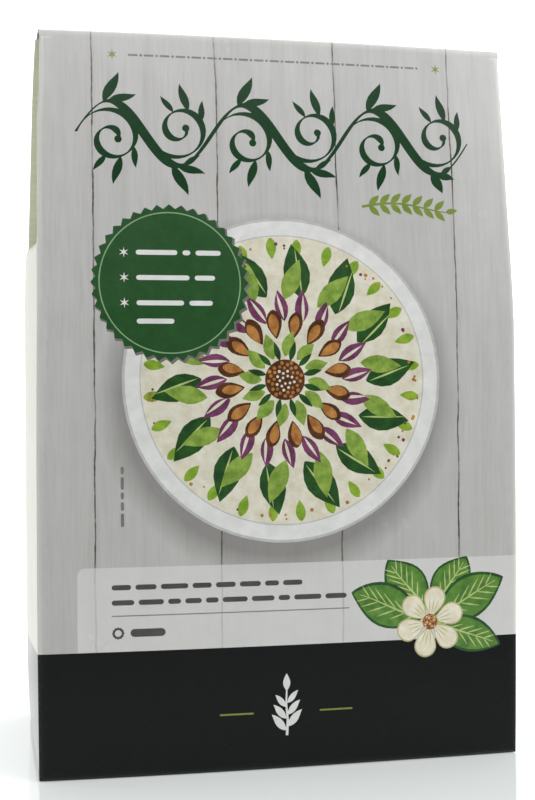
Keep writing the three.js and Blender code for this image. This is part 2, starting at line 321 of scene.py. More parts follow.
def asterisk(x, z, radius, arms=6, waist=0.3):
    turn = math.tau / (2 * arms)
    start = math.pi / 2
    return [circle_point(x, z, radius * (waist if i % 2 else 1), start + turn * i) for i in range(2 * arms)]


def spiral(x, z, start_radius, end_radius, start_angle, turn, steps=26):
    """Points that wind in towards (x, z)."""
    points = []
    for i in range(steps + 1):
        t = i / steps
        points.append(circle_point(x, z, mix(start_radius, end_radius, t ** 0.8), start_angle + turn * t))
    return points


GOLDEN_ANGLE = math.radians(137.508)


def seed_place(x, z, spacing, i):
    """The place of seed number i when seeds fill a flower head from its middle (x, z)."""
    return circle_point(x, z, spacing * math.sqrt(i), i * GOLDEN_ANGLE)


def taper(count, start, end):
    """Widths that go evenly from start to end."""
    return [mix(start, end, i / (count - 1)) for i in range(count)]


front_print = []


def ink(name, outline, panel=front_print):
    """Adds a shape to a panel's stack, its points put in counter-clockwise order."""
    area = sum(a[0] * b[1] - b[0] * a[1] for a, b in zip(outline, outline[1:] + outline[:1]))
    panel.append((name, outline if area > 0 else outline[::-1]))


print("a bar has", len(bar(0, 0, 5, 1)), "points")

# %% [markdown]
# ## Flourish along the top
# The widest piece of print is a scrolling vine in dark green: one wavy stem, a tendril that curls into each
# hollow of the wave, and slim leaves. A curve object with a bevel would do on flat paper. Drawn as ribbons
# and leaves it lies in the board's own face. Every stroke is as wide as a broad pen held at a slant would
# draw it there, thick on the way down and thin on the way across.

# %% Draw the vine
VINE_LEFT, VINE_RIGHT = -52.5, 51.5
VINE_MIDDLE = 162.2
VINE_SWING = 8.2           # height of the wave above its middle line
VINE_WAVE = 34.6           # length of one wave
VINE_CRESTS = 6            # highest and lowest places of the wave, with a tendril and leaves at each
CURL_START, CURL_END = 8.9, 1.6            # radii of a tendril
CURL_STEPS = 48
CURL_LEAVES = ((17, 5.6, 0.9), (21, 7.4, 0.5), (25, 5.2, 0.1))             # step, length, turn
CREST_LEAVES = ((-1.5, 0.95, 8.6, 2.7), (-0.3, 0.4, 7.2, 2.1), (1.0, -0.05, 5.2, 1.5))
PEN_ANGLE = math.radians(35)
PEN_THIN, PEN_THICK = 0.55, 2.5


def pen_stroke(name, middle, weight=1.0):
    """A ribbon as wide as a slanted broad pen draws it, with pointed ends."""
    widths = []
    last = len(middle) - 1
    for i in range(last + 1):
        (ax, az), (bx, bz) = middle[max(0, i - 1)], middle[min(last, i + 1)]
        slant = abs(math.sin(math.atan2(bz - az, bx - ax) - PEN_ANGLE))
        ends = min(1.0, 0.35 + 5 * min(i, last - i) / last)
        widths.append(ends * weight * mix(PEN_THIN, PEN_THICK, slant ** 1.5))
    ink(name, ribbon(middle, widths))


def vine_z(x):
    return VINE_MIDDLE + VINE_SWING * math.sin(math.tau * (x - VINE_LEFT) / VINE_WAVE)


def vine_angle(x):
    return math.atan(VINE_SWING * math.tau / VINE_WAVE * math.cos(math.tau * (x - VINE_LEFT) / VINE_WAVE))


pen_stroke("vine_green", [(x, vine_z(x)) for x in np.linspace(VINE_LEFT, VINE_RIGHT, 120).tolist()])
for i in range(VINE_CRESTS):
    crest = VINE_LEFT + VINE_WAVE * (0.25 + 0.5 * i)
    side = 1 if i % 2 == 0 else -1
    hub_x, hub_z = crest + 0.5, VINE_MIDDLE - side * 1.4
    start_angle, winding = side * math.radians(171), -side * math.radians(540)
    curl = spiral(hub_x, hub_z, CURL_START, CURL_END, start_angle, winding, CURL_STEPS)
    pen_stroke("vine_green", curl, 0.72)
    ink("vine_green", disc(*curl[-1], 0.95, 16))
    for step, reach, turn in CURL_LEAVES:
        outward = math.atan2(curl[step][1] - hub_z, curl[step][0] - hub_x)
        ink("vine_green", leaf(*curl[step], outward - side * turn, reach, reach * 0.3, -side * 0.2))
    grown = 0.7 if i == VINE_CRESTS - 1 else 1.0        # the last bunch leaves room for the twig below it
    for ahead, angle, reach, width in CREST_LEAVES:
        x = crest + ahead
        reach *= grown
        ink("vine_green", leaf(x, vine_z(x), vine_angle(x) + side * angle, reach, width, -side * 0.22))
print("vine:", len(front_print), "shapes")

# %% [markdown]
# ## Twig, and the rule above the vine
# Small print round the vine: an olive twig below it, and above it a fine row of dashes and dots between
# two asterisks. Repeats like these are a loop, so their spacing stays even as a ruler's.

# %% Draw the twig and the rule
TWIG_START, TWIG_END, TWIG_Z = 21.5, 44.5, 144.6
TWIG_SWAY, TWIG_POINTS = 1.1, 24
twig = []
for x in np.linspace(TWIG_START, TWIG_END, TWIG_POINTS).tolist():
    twig.append((x, TWIG_Z + TWIG_SWAY * math.sin((x - TWIG_START) / 5.5)))
ink("olive", ribbon(twig, taper(TWIG_POINTS, 0.75, 0.3)))
for i in range(2, TWIG_POINTS - 1, 3):
    x, z = twig[i]
    for side in (1, -1):
        ink("olive", leaf(x, z, side * 0.95, 3.9, 1.7, -side * 0.15, steps=7))
ink("olive", leaf(*twig[-1], 0.2, 3.4, 1.6, steps=7))

RULE_LEFT, RULE_RIGHT, RULE_Z = -43.0, 43.5, 182.6
for x in (RULE_LEFT, RULE_RIGHT):
    ink("olive", asterisk(x, RULE_Z, 1.5))
dash, dash_gap, x = 2.6, 1.5, RULE_LEFT + 4.0
while x + dash < RULE_RIGHT - 3.0:
    ink("soft_grey", bar(x, RULE_Z, x + dash, 0.55, 0))
    ink("soft_grey", disc(x + dash + dash_gap / 2, RULE_Z, 0.36, 10))
    x += dash + dash_gap
print("with twig and rule:", len(front_print), "shapes")

# %% [markdown]
# ## Medallion
# The large round print stands for a dish of food in colour and size: a pale plate that holds rings of
# leaves, petals and seeds. Each ring is one motif repeated round a circle, which is how an engraver
# divides a rosette. A seeded draw moves each motif a little, so that no two are quite alike.

# %% Draw the plate and its rings
DISH_X, DISH_Z, DISH_RADIUS = 0.0, 99.4, 41.6
nudge = random.Random(7)


def dish_ring(name, count, radius, length, width, offset=0.0, turn=0.0, blunt=1.0, jitter=0.06):
    """A ring of one motif, pointing outwards from the middle of the dish."""
    for i in range(count):
        angle = math.tau * (i + offset) / count + nudge.uniform(-jitter, jitter) / 3
        x, z = circle_point(DISH_X, DISH_Z, radius, angle)
        size = 1 + nudge.uniform(-jitter, jitter)
        heading = angle + turn + nudge.uniform(-jitter, jitter)
        ink(name, leaf(x, z, heading, length * size, width * size, 0.1 * turn, blunt))


ink("plate_rim", disc(DISH_X, DISH_Z, DISH_RADIUS, 96))
ink("plate", disc(DISH_X, DISH_Z, DISH_RADIUS - 0.7, 96))
ink("plate_rim", disc(DISH_X, DISH_Z, DISH_RADIUS - 4.4, 96))
ink("rice_cream", disc(DISH_X, DISH_Z, DISH_RADIUS - 4.7, 96))

dish_ring("pea_green", 28, 31.0, 5.4, 2.6, 0.5, blunt=1.5)
dish_ring("leaf_dark", 14, 21.5, 14.5, 7.2, turn=0.35)
dish_ring("leaf_rib", 14, 22.5, 12.0, 0.55, turn=0.35)
dish_ring("leaf_light", 14, 20.5, 11.5, 4.8, 0.5, turn=-0.3)
dish_ring("cabbage_purple", 20, 15.0, 8.6, 3.6, turn=0.25)
dish_ring("rice_cream", 20, 15.6, 6.6, 0.8, turn=0.25)
dish_ring("roast_dark", 16, 10.6, 7.4, 4.0, 0.5, blunt=1.6)
dish_ring("roast_gold", 16, 11.2, 5.6, 2.5, 0.5, blunt=1.6)
dish_ring("leaf_light", 12, 6.0, 6.6, 3.4, turn=-0.25)
dish_ring("leaf_dark", 12, 5.0, 5.0, 1.6, 0.5)
ink("roast_dark", disc(DISH_X, DISH_Z, 5.2, 40))
for i in range(1, 46):
    seed = disc(*seed_place(DISH_X, DISH_Z, 0.69, i), 0.33 + 0.004 * i, 10)
    ink("rice_cream" if i < 16 else "roast_gold", seed)
for i in range(56):
    angle, radius = nudge.uniform(0, math.tau), nudge.uniform(33.5, 36.0)
    crumb = circle_point(DISH_X, DISH_Z, radius, angle)
    ink("roast_gold" if i % 3 else "cabbage_purple", disc(*crumb, nudge.uniform(0.25, 0.5), 9))
print("with the dish:", len(front_print), "shapes")

# %% [markdown]
# ## Seal
# A round seal with a toothed edge lies over the dish's shoulder. Inside it are rows of plain white bars, as
# long as words but saying nothing, and an asterisk stands before each of the first three.

# %% Draw the seal
SEAL_X, SEAL_Z, SEAL_RADIUS = -29.2, 124.0, 20.0
SEAL_TEETH, TOOTH_DEPTH = 40, 1.2
SEAL_ROWS = ((7.6, (10.5, 2.0, 6.5)), (1.2, (13.5, 5.2)), (-5.2, (12.0, 6.0)), (-9.8, (9.5,)))
ink("seal_shade", toothed_disc(SEAL_X + 0.35, SEAL_Z - 0.45, SEAL_RADIUS + 0.25, SEAL_TEETH, TOOTH_DEPTH))
ink("seal_green", toothed_disc(SEAL_X, SEAL_Z, SEAL_RADIUS, SEAL_TEETH, TOOTH_DEPTH))
ink("seal_ring", disc(SEAL_X, SEAL_Z, SEAL_RADIUS - 2.0, 72))
ink("seal_green", disc(SEAL_X, SEAL_Z, SEAL_RADIUS - 2.3, 72))
for row, (height, words) in enumerate(SEAL_ROWS):
    if row < 3:
        ink("paper_white", asterisk(SEAL_X - 11.6, SEAL_Z + height, 1.35))
    x = SEAL_X - 8.6
    for word in words:
        ink("paper_white", bar(x, SEAL_Z + height, x + word, 1.25))
        x += word + 1.3
print("with the seal:", len(front_print), "shapes")

# %% [markdown]
# ## Veil panel and its small print
# Low on the front a pale, see-through white lies over the printed planks, so that dark small print reads
# on it. The small print here is only rows of grey bars and one thin rule.

# %% Draw the veil and the bars on it
BAND_TOP = 31.6
VEIL_TOP = 52.6
VEIL_LEFT = -52.8
VEIL_CORNER = 2.0
PAST_EDGE = HALF_WIDTH + 2          # print that bleeds over the fold is drawn past it
corner_middle = (VEIL_LEFT + VEIL_CORNER, VEIL_TOP - VEIL_CORNER)
veil_corner = [circle_point(*corner_middle, VEIL_CORNER, math.pi / 2 * (1 + i / 6)) for i in range(7)]
ink("veil", [(VEIL_LEFT, BAND_TOP), (PAST_EDGE, BAND_TOP), (PAST_EDGE, VEIL_TOP), *veil_corner])
word_draw = random.Random(11)


def word_row(name, z, left, right, height, panel=front_print):
    """Bars as long as words, until the row is full."""
    x = left
    while x < right - 2 * height:
        word = min(right - x, word_draw.uniform(2.2, 5.6) * height)
        ink(name, bar(x, z, x + word, height), panel)
        x += word + 0.8 * height


SMALL_LEFT = -44.4
word_row("text_grey", 47.6, SMALL_LEFT, 5.5, 1.3)
word_row("text_grey", 43.8, SMALL_LEFT, 16.0, 1.3)
ink("soft_grey", bar(SMALL_LEFT, 40.5, 16.7, 0.28))
ink("text_grey", toothed_disc(SMALL_LEFT + 1.6, 36.2, 1.6, 12, 0.25))
ink("veil", disc(SMALL_LEFT + 1.6, 36.2, 0.85, 16))
word_row("text_grey", 36.2, SMALL_LEFT + 4.6, -25.9, 2.0)
side_row = []
word_row("text_grey", 0, 0, 15.9, 0.8, side_row)
for name, outline in side_row:
    ink("soft_grey", [(-41.6 - z, 62.7 + x) for x, z in outline])       # the same row, turned upright
print("with the small print:", len(front_print), "shapes")

# %% [markdown]
# ## Base band with its emblem
# The lowest 32 mm are printed near black all round the carton. On the front it holds a plain white twig
# between two thin olive lines.

# %% Draw the band and the white twig
UNDER_FOOT = -2.0                  # print that bleeds under the foot is drawn down to here
band = box_outline(-PAST_EDGE, UNDER_FOOT, PAST_EDGE, BAND_TOP)
ink("band_black", band)
SPRIG_FOOT, SPRIG_TIP = 8.6, 20.4
SPRIG_LEAF, SPRIG_ANGLE = 5.6, math.radians(52)
LINE_Z, LINE_NEAR, LINE_FAR = 14.6, 8.6, 17.4
sprig_stem = [(0.0, SPRIG_FOOT), (0.2, 12.6), (-0.15, 16.6), (0.0, SPRIG_TIP)]
ink("emblem_white", ribbon(sprig_stem, taper(len(sprig_stem), 0.7, 0.4)))
ink("emblem_white", leaf(0.0, SPRIG_TIP - 0.4, math.pi / 2, 4.4, 1.9))
for side in (-1, 1):
    line_ends = sorted((side * LINE_NEAR, side * LINE_FAR))
    ink("olive", bar(line_ends[0], LINE_Z, line_ends[1], 0.45))
    for step, foot in enumerate((10.4, 13.4, 16.4)):
        reach = SPRIG_LEAF - 0.7 * step
        heading = math.pi / 2 - side * SPRIG_ANGLE
        ink("emblem_white", leaf(0.12 * side, foot + 0.5 * side, heading, reach, reach * 0.36, side * 0.16))
print("with band and twig:", len(front_print), "shapes")

# %% [markdown]
# ## Leaves and a blossom at the lower right
# A bunch of broad leaves with a pale blossom lies over the veil's end and the top of the band. A broad leaf
# is drawn in four passes: a dark outline, the blade, ribs that run out from the middle, and the middle rib.

# %% Draw the bunch
RIB_TURN = 0.72            # the ribs leave the leaf's middle line at this angle


def broad_leaf(x, z, angle, length, width, bend):
    """A dark outline, the blade, its ribs and its middle rib."""
    ink("leaf_dark", leaf(x, z, angle, length, width, bend, 1.2, 16))
    inset = 0.03 * length
    foot = circle_point(x, z, inset, angle)
    ink("leaf_mid", leaf(*foot, angle, length - 2.2 * inset, width - 2.4 * inset, bend, 1.2, 16))
    for i in range(1, 7):
        t = i / 8
        place = leaf_line(x, z, angle, length, bend, t)
        reach = 0.5 * width * math.sin(math.pi * t ** 0.9)
        for side in (1, -1):
            heading = angle + side * RIB_TURN + bend * 1.6 * t
            ink("leaf_rib", leaf(*place, heading, reach, 0.42, -side * 0.1, steps=4))
    middle = [leaf_line(x, z, angle, length, bend, i / 9) for i in range(9)]
    ink("leaf_rib", ribbon(middle, taper(9, 0.75, 0.15)))


BUNCH_X, BUNCH_Z = 38.6, 37.0
BROAD_LEAVES = (           # right of and above the bunch's middle, direction in degrees, length, width, bend
    (1, 2, 62, 16.5, 10.5, -0.10),
    (-1, 2, 121, 17.0, 11.0, 0.12),
    (1, 0, 22, 21.5, 11.5, 0.10),
    (-2, 0, 167, 20.5, 11.5, -0.14),
    (1, -1, -24, 19.5, 9.5, 0.06),
)
for right_of, above, direction, length, width, curve in BROAD_LEAVES:
    broad_leaf(BUNCH_X + right_of, BUNCH_Z + above, math.radians(direction), length, width, curve)

BLOSSOM = (BUNCH_X, BUNCH_Z - 1.0)
PETALS = 6
PETAL_LAYERS = (("petal_edge", 1.2, 8.2, 6.0), ("petal", 1.5, 7.5, 5.3))        # ink, start, length, width
for i in range(PETALS):
    angle = math.tau * (i + 0.3) / PETALS
    for name, start, length, width in PETAL_LAYERS:
        ink(name, leaf(*circle_point(*BLOSSOM, start, angle), angle, length, width, 0.0, 1.9, 12))
    for turn in (-0.22, 0.0, 0.22):
        ink("petal_edge", leaf(*circle_point(*BLOSSOM, 2.2, angle + turn), angle + turn, 4.2, 0.24))
ink("roast_gold", disc(*BLOSSOM, 2.1, 24))
for i in range(1, 22):
    ink("roast_dark" if i % 2 else "petal", disc(*seed_place(*BLOSSOM, 0.42, i), 0.22, 8))
print("front print:", len(front_print), "shapes")

# %% [markdown]
# ## Levels and the plan of the folds
# The upright walls are sheets of points: levels up the carton, columns round it. The gusset's crease is
# higher at the front than at the back, so each level has two heights, one at the front fold and one at the
# back fold, and runs slanted between them. A boolean or a cloth fold could make the gusset too, but levels
# that follow the crease keep it a clean line.

# %% Choose the levels
FOOT_FRONT, FOOT_SIDE, FOOT_BACK = 1.0, 2.9, 1.9      # where each wall starts to turn under
FOLD_TOP = HEIGHT - 2.3                               # the gussets' folds end a little under the ridge
CREASE_STEPS = (-3, -1.5, -0.5, 0.5, 1.5, 3)          # levels that round a pressed crease
CREASE_REACH = 6                                      # even levels end this far under it
BAND_STEPS, VEIL_STEPS, WALL_STEPS, ROOF_STEPS = 7, 5, 13, 30
ROOF_EASE = 1.35                                      # above 1, levels lie closer just above the crease


def stretch_levels(start, end, steps, ease=1.0):
    """Heights after start, up to end."""
    return [mix(start, end, (i / steps) ** ease) for i in range(1, steps + 1)]


def wall_levels(shoulder):
    """Heights from the foot of the sides to the top of the gusset folds, at the front or the back fold."""
    levels = [FOOT_SIDE]
    levels += stretch_levels(FOOT_SIDE, BAND_TOP, BAND_STEPS)
    levels += stretch_levels(BAND_TOP, VEIL_TOP, VEIL_STEPS)
    levels += stretch_levels(VEIL_TOP, shoulder - CREASE_REACH, WALL_STEPS)
    levels += [shoulder + step for step in CREASE_STEPS]
    levels += stretch_levels(shoulder + CREASE_STEPS[-1], FOLD_TOP, ROOF_STEPS, ROOF_EASE)
    return levels


front_levels = wall_levels(SHOULDER_FRONT)
back_levels = wall_levels(SHOULDER_BACK)
level_pairs = list(zip(front_levels, back_levels))
print(len(level_pairs), "levels")

# %% [markdown]
# ## Upright folds
# A fold is a soft bend, not an edge. Below the gusset it turns a quarter. Above, the gusset's edge strip
# lies flat behind the front panel, so the same fold turns half way round, and a second fold brings the
# board into the recess. A Bevel modifier keeps one width all along an edge, and this fold closes gradually
# above the crease, so each level bends its own corner with a short Bezier curve.

# %% Helpers for a fold at one level
FLAT_FOLD = 2 * BOARD          # two layers pressed together
OPENING = 3.0                  # depth of the gusset at which its edge strip lies flat
BEND_STEPS = 5


def bend(start, corner, end, steps=BEND_STEPS):
    """Points of a soft bend from start to end, drawn towards the corner."""
    points = []
    for i in range(steps + 1):
        t = i / steps
        points.append(start * (1 - t) ** 2 + corner * (2 * t * (1 - t)) + end * t ** 2)
    return points


def fold_radius(depth):
    """The outside radius of an upright fold: round below the crease, pressed flat above it."""
    return mix(FOLD_RADIUS, FLAT_FOLD / 2, min(1.0, depth / OPENING))


def edge_strip(depth):
    """How far the strip has turned in, from 0 to a quarter turn, and how long it is."""
    turn = math.pi / 2 * min(1.0, max(depth, 1e-6) / OPENING)
    return turn, max(depth, 1e-6) / math.sin(turn)


def on_wall(wall_y, x, z):
    """A point of the front or the back."""
    return Vector((x, wall_y(x, z), z))


def half_of(wall_y, z):
    """Half the width of the front or the back."""
    return back_half_width(z) if wall_y is back_y else half_width(z)


def panel_edge(wall_y, z, depth):
    """Where a front or back panel ends and its upright fold begins."""
    return on_wall(wall_y, half_of(wall_y, z) - fold_radius(depth), z)


print(f"fold radius {fold_radius(0):.1f} mm below the gusset, {fold_radius(OPENING):.1f} mm above it")

# %% [markdown]
# ## One level of a side
# A level goes from the front panel's edge round the front's fold, across the open stretch and round the
# back's fold. Both folds are the same function with the walls exchanged. Under the ridge, where front and
# back come close, every part of a fold takes no more than its share of the room, so nothing crosses.

# %% Work out the levels of a side
INNER_FOLD = 0.8               # radius where the gusset leaves its edge strip
SIDE_COLUMNS = 28
ROOM_FOR_FOLD = 0.42           # shares of the room between front and back: for each pressed fold,
ROOM_FOR_INNER = 0.2           # and for each inner one,
STRIP_FOR_INNER = 0.25         # which also takes at most this share of its edge strip
STRIP_FOR_BEND = 0.3           # and the pressed fold this share
STRIP_PLACES = (0.45, 0.65)    # columns along the strip


def upright_fold(wall_y, z, inward, stretch):
    """One end of a level: points round the fold and along the edge strip, and where the second fold goes."""
    half = half_of(wall_y, z)
    edge_y = wall_y(half, z)
    depth = gusset_in(edge_y, z)
    turn, length = edge_strip(depth)
    flat = min(1.0, depth / OPENING)
    room = abs(back_y(half, z) - front_y(half, z))
    thick = min(FLAT_FOLD * stretch, ROOM_FOR_FOLD * room)
    radius = fold_radius(depth)
    corner = Vector((half, edge_y, z))
    turned_y = edge_y + inward * thick
    turned = Vector((mix(side_x(turned_y, z), half, flat), turned_y, z))
    strip_y = turned_y + inward * length * math.cos(turn)
    strip_end = Vector((side_x(strip_y, z) - depth, strip_y, z))
    along = (strip_end - turned).normalized()
    half_way = corner + (turned - corner) * 0.5
    first = bend(panel_edge(wall_y, z, depth), corner, half_way)
    second = bend(half_way, turned, turned + along * min(radius, length * STRIP_FOR_BEND), 3)
    strip = [turned + (strip_end - turned) * t for t in STRIP_PLACES]
    inner = min(INNER_FOLD, STRIP_FOR_INNER * length, ROOM_FOR_INNER * room)
    return first + second[1:] + strip, strip_end, along, inner


def side_level(z_front, z_back):
    """All points of one level of the right-hand side."""
    start, near, near_along, near_inner = upright_fold(front_y, z_front, 1, 1.0)
    end, far, far_along, far_inner = upright_fold(back_y, z_back, -1, roof_stretch(z_back))
    y0, y1 = near.y + near_inner, far.y - far_inner
    middle = []
    for i in range(SIDE_COLUMNS + 1):
        y = mix(y0, y1, i / SIDE_COLUMNS)
        z = mix(z_front, z_back, share(y, near.y, far.y))
        middle.append(Vector((side_x(y, z) - gusset_in(y, z), y, z)))
    near_bend = bend(near - near_along * near_inner, near, middle[0], 4)
    far_bend = bend(far - far_along * far_inner, far, middle[-1], 4)
    return start + near_bend[:-1] + middle + far_bend[:-1][::-1] + end[::-1]


right_side = [side_level(*pair) for pair in level_pairs]
COLUMN_COUNT = len(right_side[0])
FIRST_BENDS = (COLUMN_COUNT - SIDE_COLUMNS - 1) // 2      # columns before the side's open stretch
print(COLUMN_COUNT, "columns on each side")

# %% [markdown]
# ## One skin from many sheets
# The outside of the whole blank is gathered in one list of points and faces: each sheet adds its own, and
# points that two sheets share are welded later. Every point also keeps its place on the flat blank,
# because the printed planks have to run round the folds as they were printed, flat.

# %% Helpers that gather points, faces and inks
skin_points, skin_flat, skin_faces, skin_inks = [], [], [], []


def blank_place(point, wall):
    """Millimetres across and up the flat blank: the front is in the middle, the back hangs on the left."""
    side = 1 if point.x > 0 else -1
    up = point.z
    if wall == "front":
        return (point.x, up)
    if wall == "side":
        return (side * (HALF_WIDTH + point.y + HALF_DEPTH), up)
    up += max(0.0, point.z - SHOULDER_BACK) * (roof_stretch(HEIGHT) - 1)
    return (-3 * HALF_WIDTH - 2 * HALF_DEPTH - point.x, up)


def add_point(point, wall, flat=None):
    skin_points.append(point)
    skin_flat.append(flat or blank_place(point, wall))
    return len(skin_points) - 1


def add_face(corners, name):
    """A face of the skin and the name of its ink."""
    skin_faces.append(tuple(corners))
    skin_inks.append(name)


def add_grid(rows, wall, ink_at, flip=False, flats=None):
    """A sheet of four-cornered faces. Rows run up, and points in a row run to the right from outside."""
    numbers = []
    for j, row in enumerate(rows):
        numbers.append([add_point(p, wall, flats and flats[j][i]) for i, p in enumerate(row)])
    for j in range(len(rows) - 1):
        for i in range(len(rows[0]) - 1):
            face = (numbers[j][i], numbers[j][i + 1], numbers[j + 1][i + 1], numbers[j + 1][i])
            add_face(face[::-1] if flip else face, ink_at(i, j))
    return numbers


print("the blank's back is left of", round(blank_place(Vector((-HALF_WIDTH, 0, 0)), "back")[0]), "mm")

# %% [markdown]
# ## Print laid into the front and the back
# The print could be thin sheets floating above the board, but they would cast shadows and could come apart
# from it. Here the panel is cut into triangles along every outline of the print (a constrained Delaunay
# triangulation), and each triangle takes the ink of the topmost shape that holds it. So the print has no
# thickness at all, as on real board.

# %% Lay print into a panel
GRID_STEP = 4.0
PANEL_STEPS = 30               # columns along a panel's foot and head
BORDER_INSET = 0.9             # a ring of points this far inside the border keeps fold wear at the fold


def panel_outline(wall_y, foot, levels):
    """The panel's border: where the folds start at every level, and even steps along foot and head."""
    heights = [foot] + list(levels)
    edges = []
    for z in heights:
        half = half_of(wall_y, z)
        depth = gusset_in(wall_y(half, z), z)
        edges.append(half - fold_radius(depth))
    right = list(zip(edges, heights))
    steps = [2 * i / PANEL_STEPS - 1 for i in range(1, PANEL_STEPS)]
    bottom = [(edges[0] * t, foot) for t in steps]
    top = [(edges[-1] * t, heights[-1]) for t in steps]
    left = [(-x, z) for x, z in right]
    return left[:1] + bottom + right + top[::-1] + left[:0:-1]


def evened(outline):
    """The same outline with no edge longer than a grid step, so that it can follow the panel's bulge."""
    points = []
    for (x0, z0), (x1, z1) in zip(outline, outline[1:] + outline[:1]):
        steps = max(1, math.ceil(math.hypot(x1 - x0, z1 - z0) / GRID_STEP))
        points += [Vector((mix(x0, x1, i / steps), mix(z0, z1, i / steps))) for i in range(steps)]
    return points


def inner_points_of(outline, crease_rows):
    """Points inside the border: the ring, an even grid, and closer rows where the panel has a crease."""
    foot, head = min(z for x, z in outline), max(z for x, z in outline)
    shrink = 1 - BORDER_INSET / HALF_WIDTH
    rise = 1 - 2 * BORDER_INSET / (head - foot)
    points = [Vector((x * shrink, foot + BORDER_INSET + (z - foot) * rise)) for x, z in outline]
    count = round((head - foot) / GRID_STEP)
    rows = [mix(foot, head, i / count) for i in range(1, count)]
    for z in rows + list(crease_rows):
        reach = half_width(z) - FOLD_RADIUS - GRID_STEP / 2
        points += [Vector((mix(-reach, reach, i / PANEL_STEPS), z)) for i in range(PANEL_STEPS + 1)]
    return points


def inlay(wall_y, outline, print_stack, bare, wall, mirror=1, crease_rows=()):
    """Triangulates a panel along its print. mirror is -1 on the back, where x runs the other way."""
    flat_points = [Vector((x, z)) for x, z in outline]
    rings = [list(range(len(outline)))]
    for name, shape in print_stack:
        shape = evened(shape)
        rings.append(list(range(len(flat_points), len(flat_points) + len(shape))))
        flat_points += shape
    flat_points += inner_points_of(outline, crease_rows)
    places, _, faces, _, _, sources = delaunay_2d_cdt(flat_points, [], rings, 1, 1e-4, True)
    numbers = {}
    for face, source in zip(faces, sources):
        if 0 not in source:
            continue
        top = max(source)
        name = print_stack[top - 1][0] if top else bare
        corners = []
        for i in face:
            if i not in numbers:
                numbers[i] = add_point(on_wall(wall_y, places[i].x * mirror, places[i].y), wall)
            corners.append(numbers[i])
        add_face(corners, name)
    return len(numbers)


print("front border:", len(panel_outline(front_y, FOOT_FRONT, front_levels)), "points")

# %% [markdown]
# ## Print on the back
# The back repeats the planks and the base band. A veil panel holds rows of plain bars, a ruled table of bars
# and a short list, where a food carton has its small print. The loops are the same as a typesetter's: a row
# height and a margin place everything.

# %% Draw the back's print
back_print = []
BACK_VEIL_HALF, BACK_VEIL_FOOT, BACK_VEIL_HEAD = 50.0, 40.0, 108.0
TEXT_HALF = BACK_VEIL_HALF - 5.0
TEXT_ROW, TEXT_ROWS, LAST_ROW_SHORT = 3.6, 6, 12.0
TABLE_TOP, TABLE_ROWS, TABLE_RIGHT = 68.5, 6, -2.0
LIST_TOP, LIST_ROW, LIST_ROWS, LIST_LEFT = 65.0, 5.6, 4, 6.0
ink("veil", box_outline(-BACK_VEIL_HALF, BACK_VEIL_FOOT, BACK_VEIL_HALF, BACK_VEIL_HEAD), back_print)
word_row("vine_green", BACK_VEIL_HEAD - 7.5, -TEXT_HALF, 8.0, 2.4, back_print)
for i in range(TEXT_ROWS):
    row_end = TEXT_HALF - (LAST_ROW_SHORT if i == TEXT_ROWS - 1 else 0.0)
    word_row("text_grey", BACK_VEIL_HEAD - 14.0 - TEXT_ROW * i, -TEXT_HALF, row_end, 1.1, back_print)
for i in range(TABLE_ROWS + 1):
    ink("soft_grey", bar(-TEXT_HALF, TABLE_TOP - TEXT_ROW * i, TABLE_RIGHT, 0.25), back_print)
for i in range(TABLE_ROWS):
    z = TABLE_TOP - TEXT_ROW * (i + 0.5)
    word_row("text_grey", z, -TEXT_HALF + 1.5, -TEXT_HALF + 17.0 - 1.5 * (i % 3), 1.0, back_print)
    word_row("text_grey", z, TABLE_RIGHT - 10.5, TABLE_RIGHT - 2.0, 1.0, back_print)
for i in range(LIST_ROWS):
    z = LIST_TOP - LIST_ROW * i
    ink("vine_green", asterisk(LIST_LEFT, z, 1.3), back_print)
    word_row("text_grey", z, LIST_LEFT + 3.5, TEXT_HALF - 1.0 - 4.0 * (i % 2), 1.1, back_print)
ink("band_black", band, back_print)
print("back print:", len(back_print), "shapes")

# %% [markdown]
# ## The two wide panels
# The front is one tall panel. The back is two, wall and roof, with a pressed crease between them. Both are
# cut from the same kind of outline, and the back gets extra rows of points at its crease. So the board
# turns there in a tight, even bend and not in one long soft curve, as a plain grid would make it.

# %% Make the front and back panels
front_outline = panel_outline(front_y, FOOT_FRONT, front_levels)
back_outline = panel_outline(back_y, FOOT_BACK, back_levels)
crease_rows = [SHOULDER_BACK + step for step in CREASE_STEPS]
front_count = inlay(front_y, front_outline, front_print, "planks", "front")
back_count = inlay(back_y, back_outline, back_print, "planks", "back", -1, crease_rows)
print("points in the front panel:", front_count, "and in the back panel:", back_count)

# %% [markdown]
# ## Sides with their gussets
# Both sides come from the same levels, and the left one is the mirror image. On the right the blank's two
# ends meet: there the side panel stops short of the back's fold, and the slit between them shows the cut
# edge of the board.

# %% Make the sides
SEAM_SHIFT = 0.25              # the side panel ends this far before the fold
SEAM_TOP = SHOULDER_BACK - 1.0
SEAM_OPENING = 3.0             # the slit opens over this height under its top
SEAM_COLUMN = COLUMN_COUNT - BEND_STEPS - 1
CORNER_FOOT = 0.3              # the front's upright folds end this far above the floor
HAIR = 0.01                    # two heights closer than this are the same level


def side_ink(column, level):
    """The ink of a face of the right-hand side, whose first and last columns are the folds."""
    z = front_levels[level]
    on_side = BEND_STEPS <= column < SEAM_COLUMN
    if z < BAND_TOP - HAIR:
        return "side_band" if on_side else "band_black"
    if on_side:
        return "side_wash"
    return "veil" if column < BEND_STEPS and z < VEIL_TOP - HAIR else "planks"


def left_ink(column, level):
    """The veil ends before the front's left fold, so there the planks are bare."""
    name = side_ink(column, level)
    return "planks" if name == "veil" else name


def mirrored(rows):
    return [[Vector((-p.x, p.y, p.z)) for p in row] for row in rows]


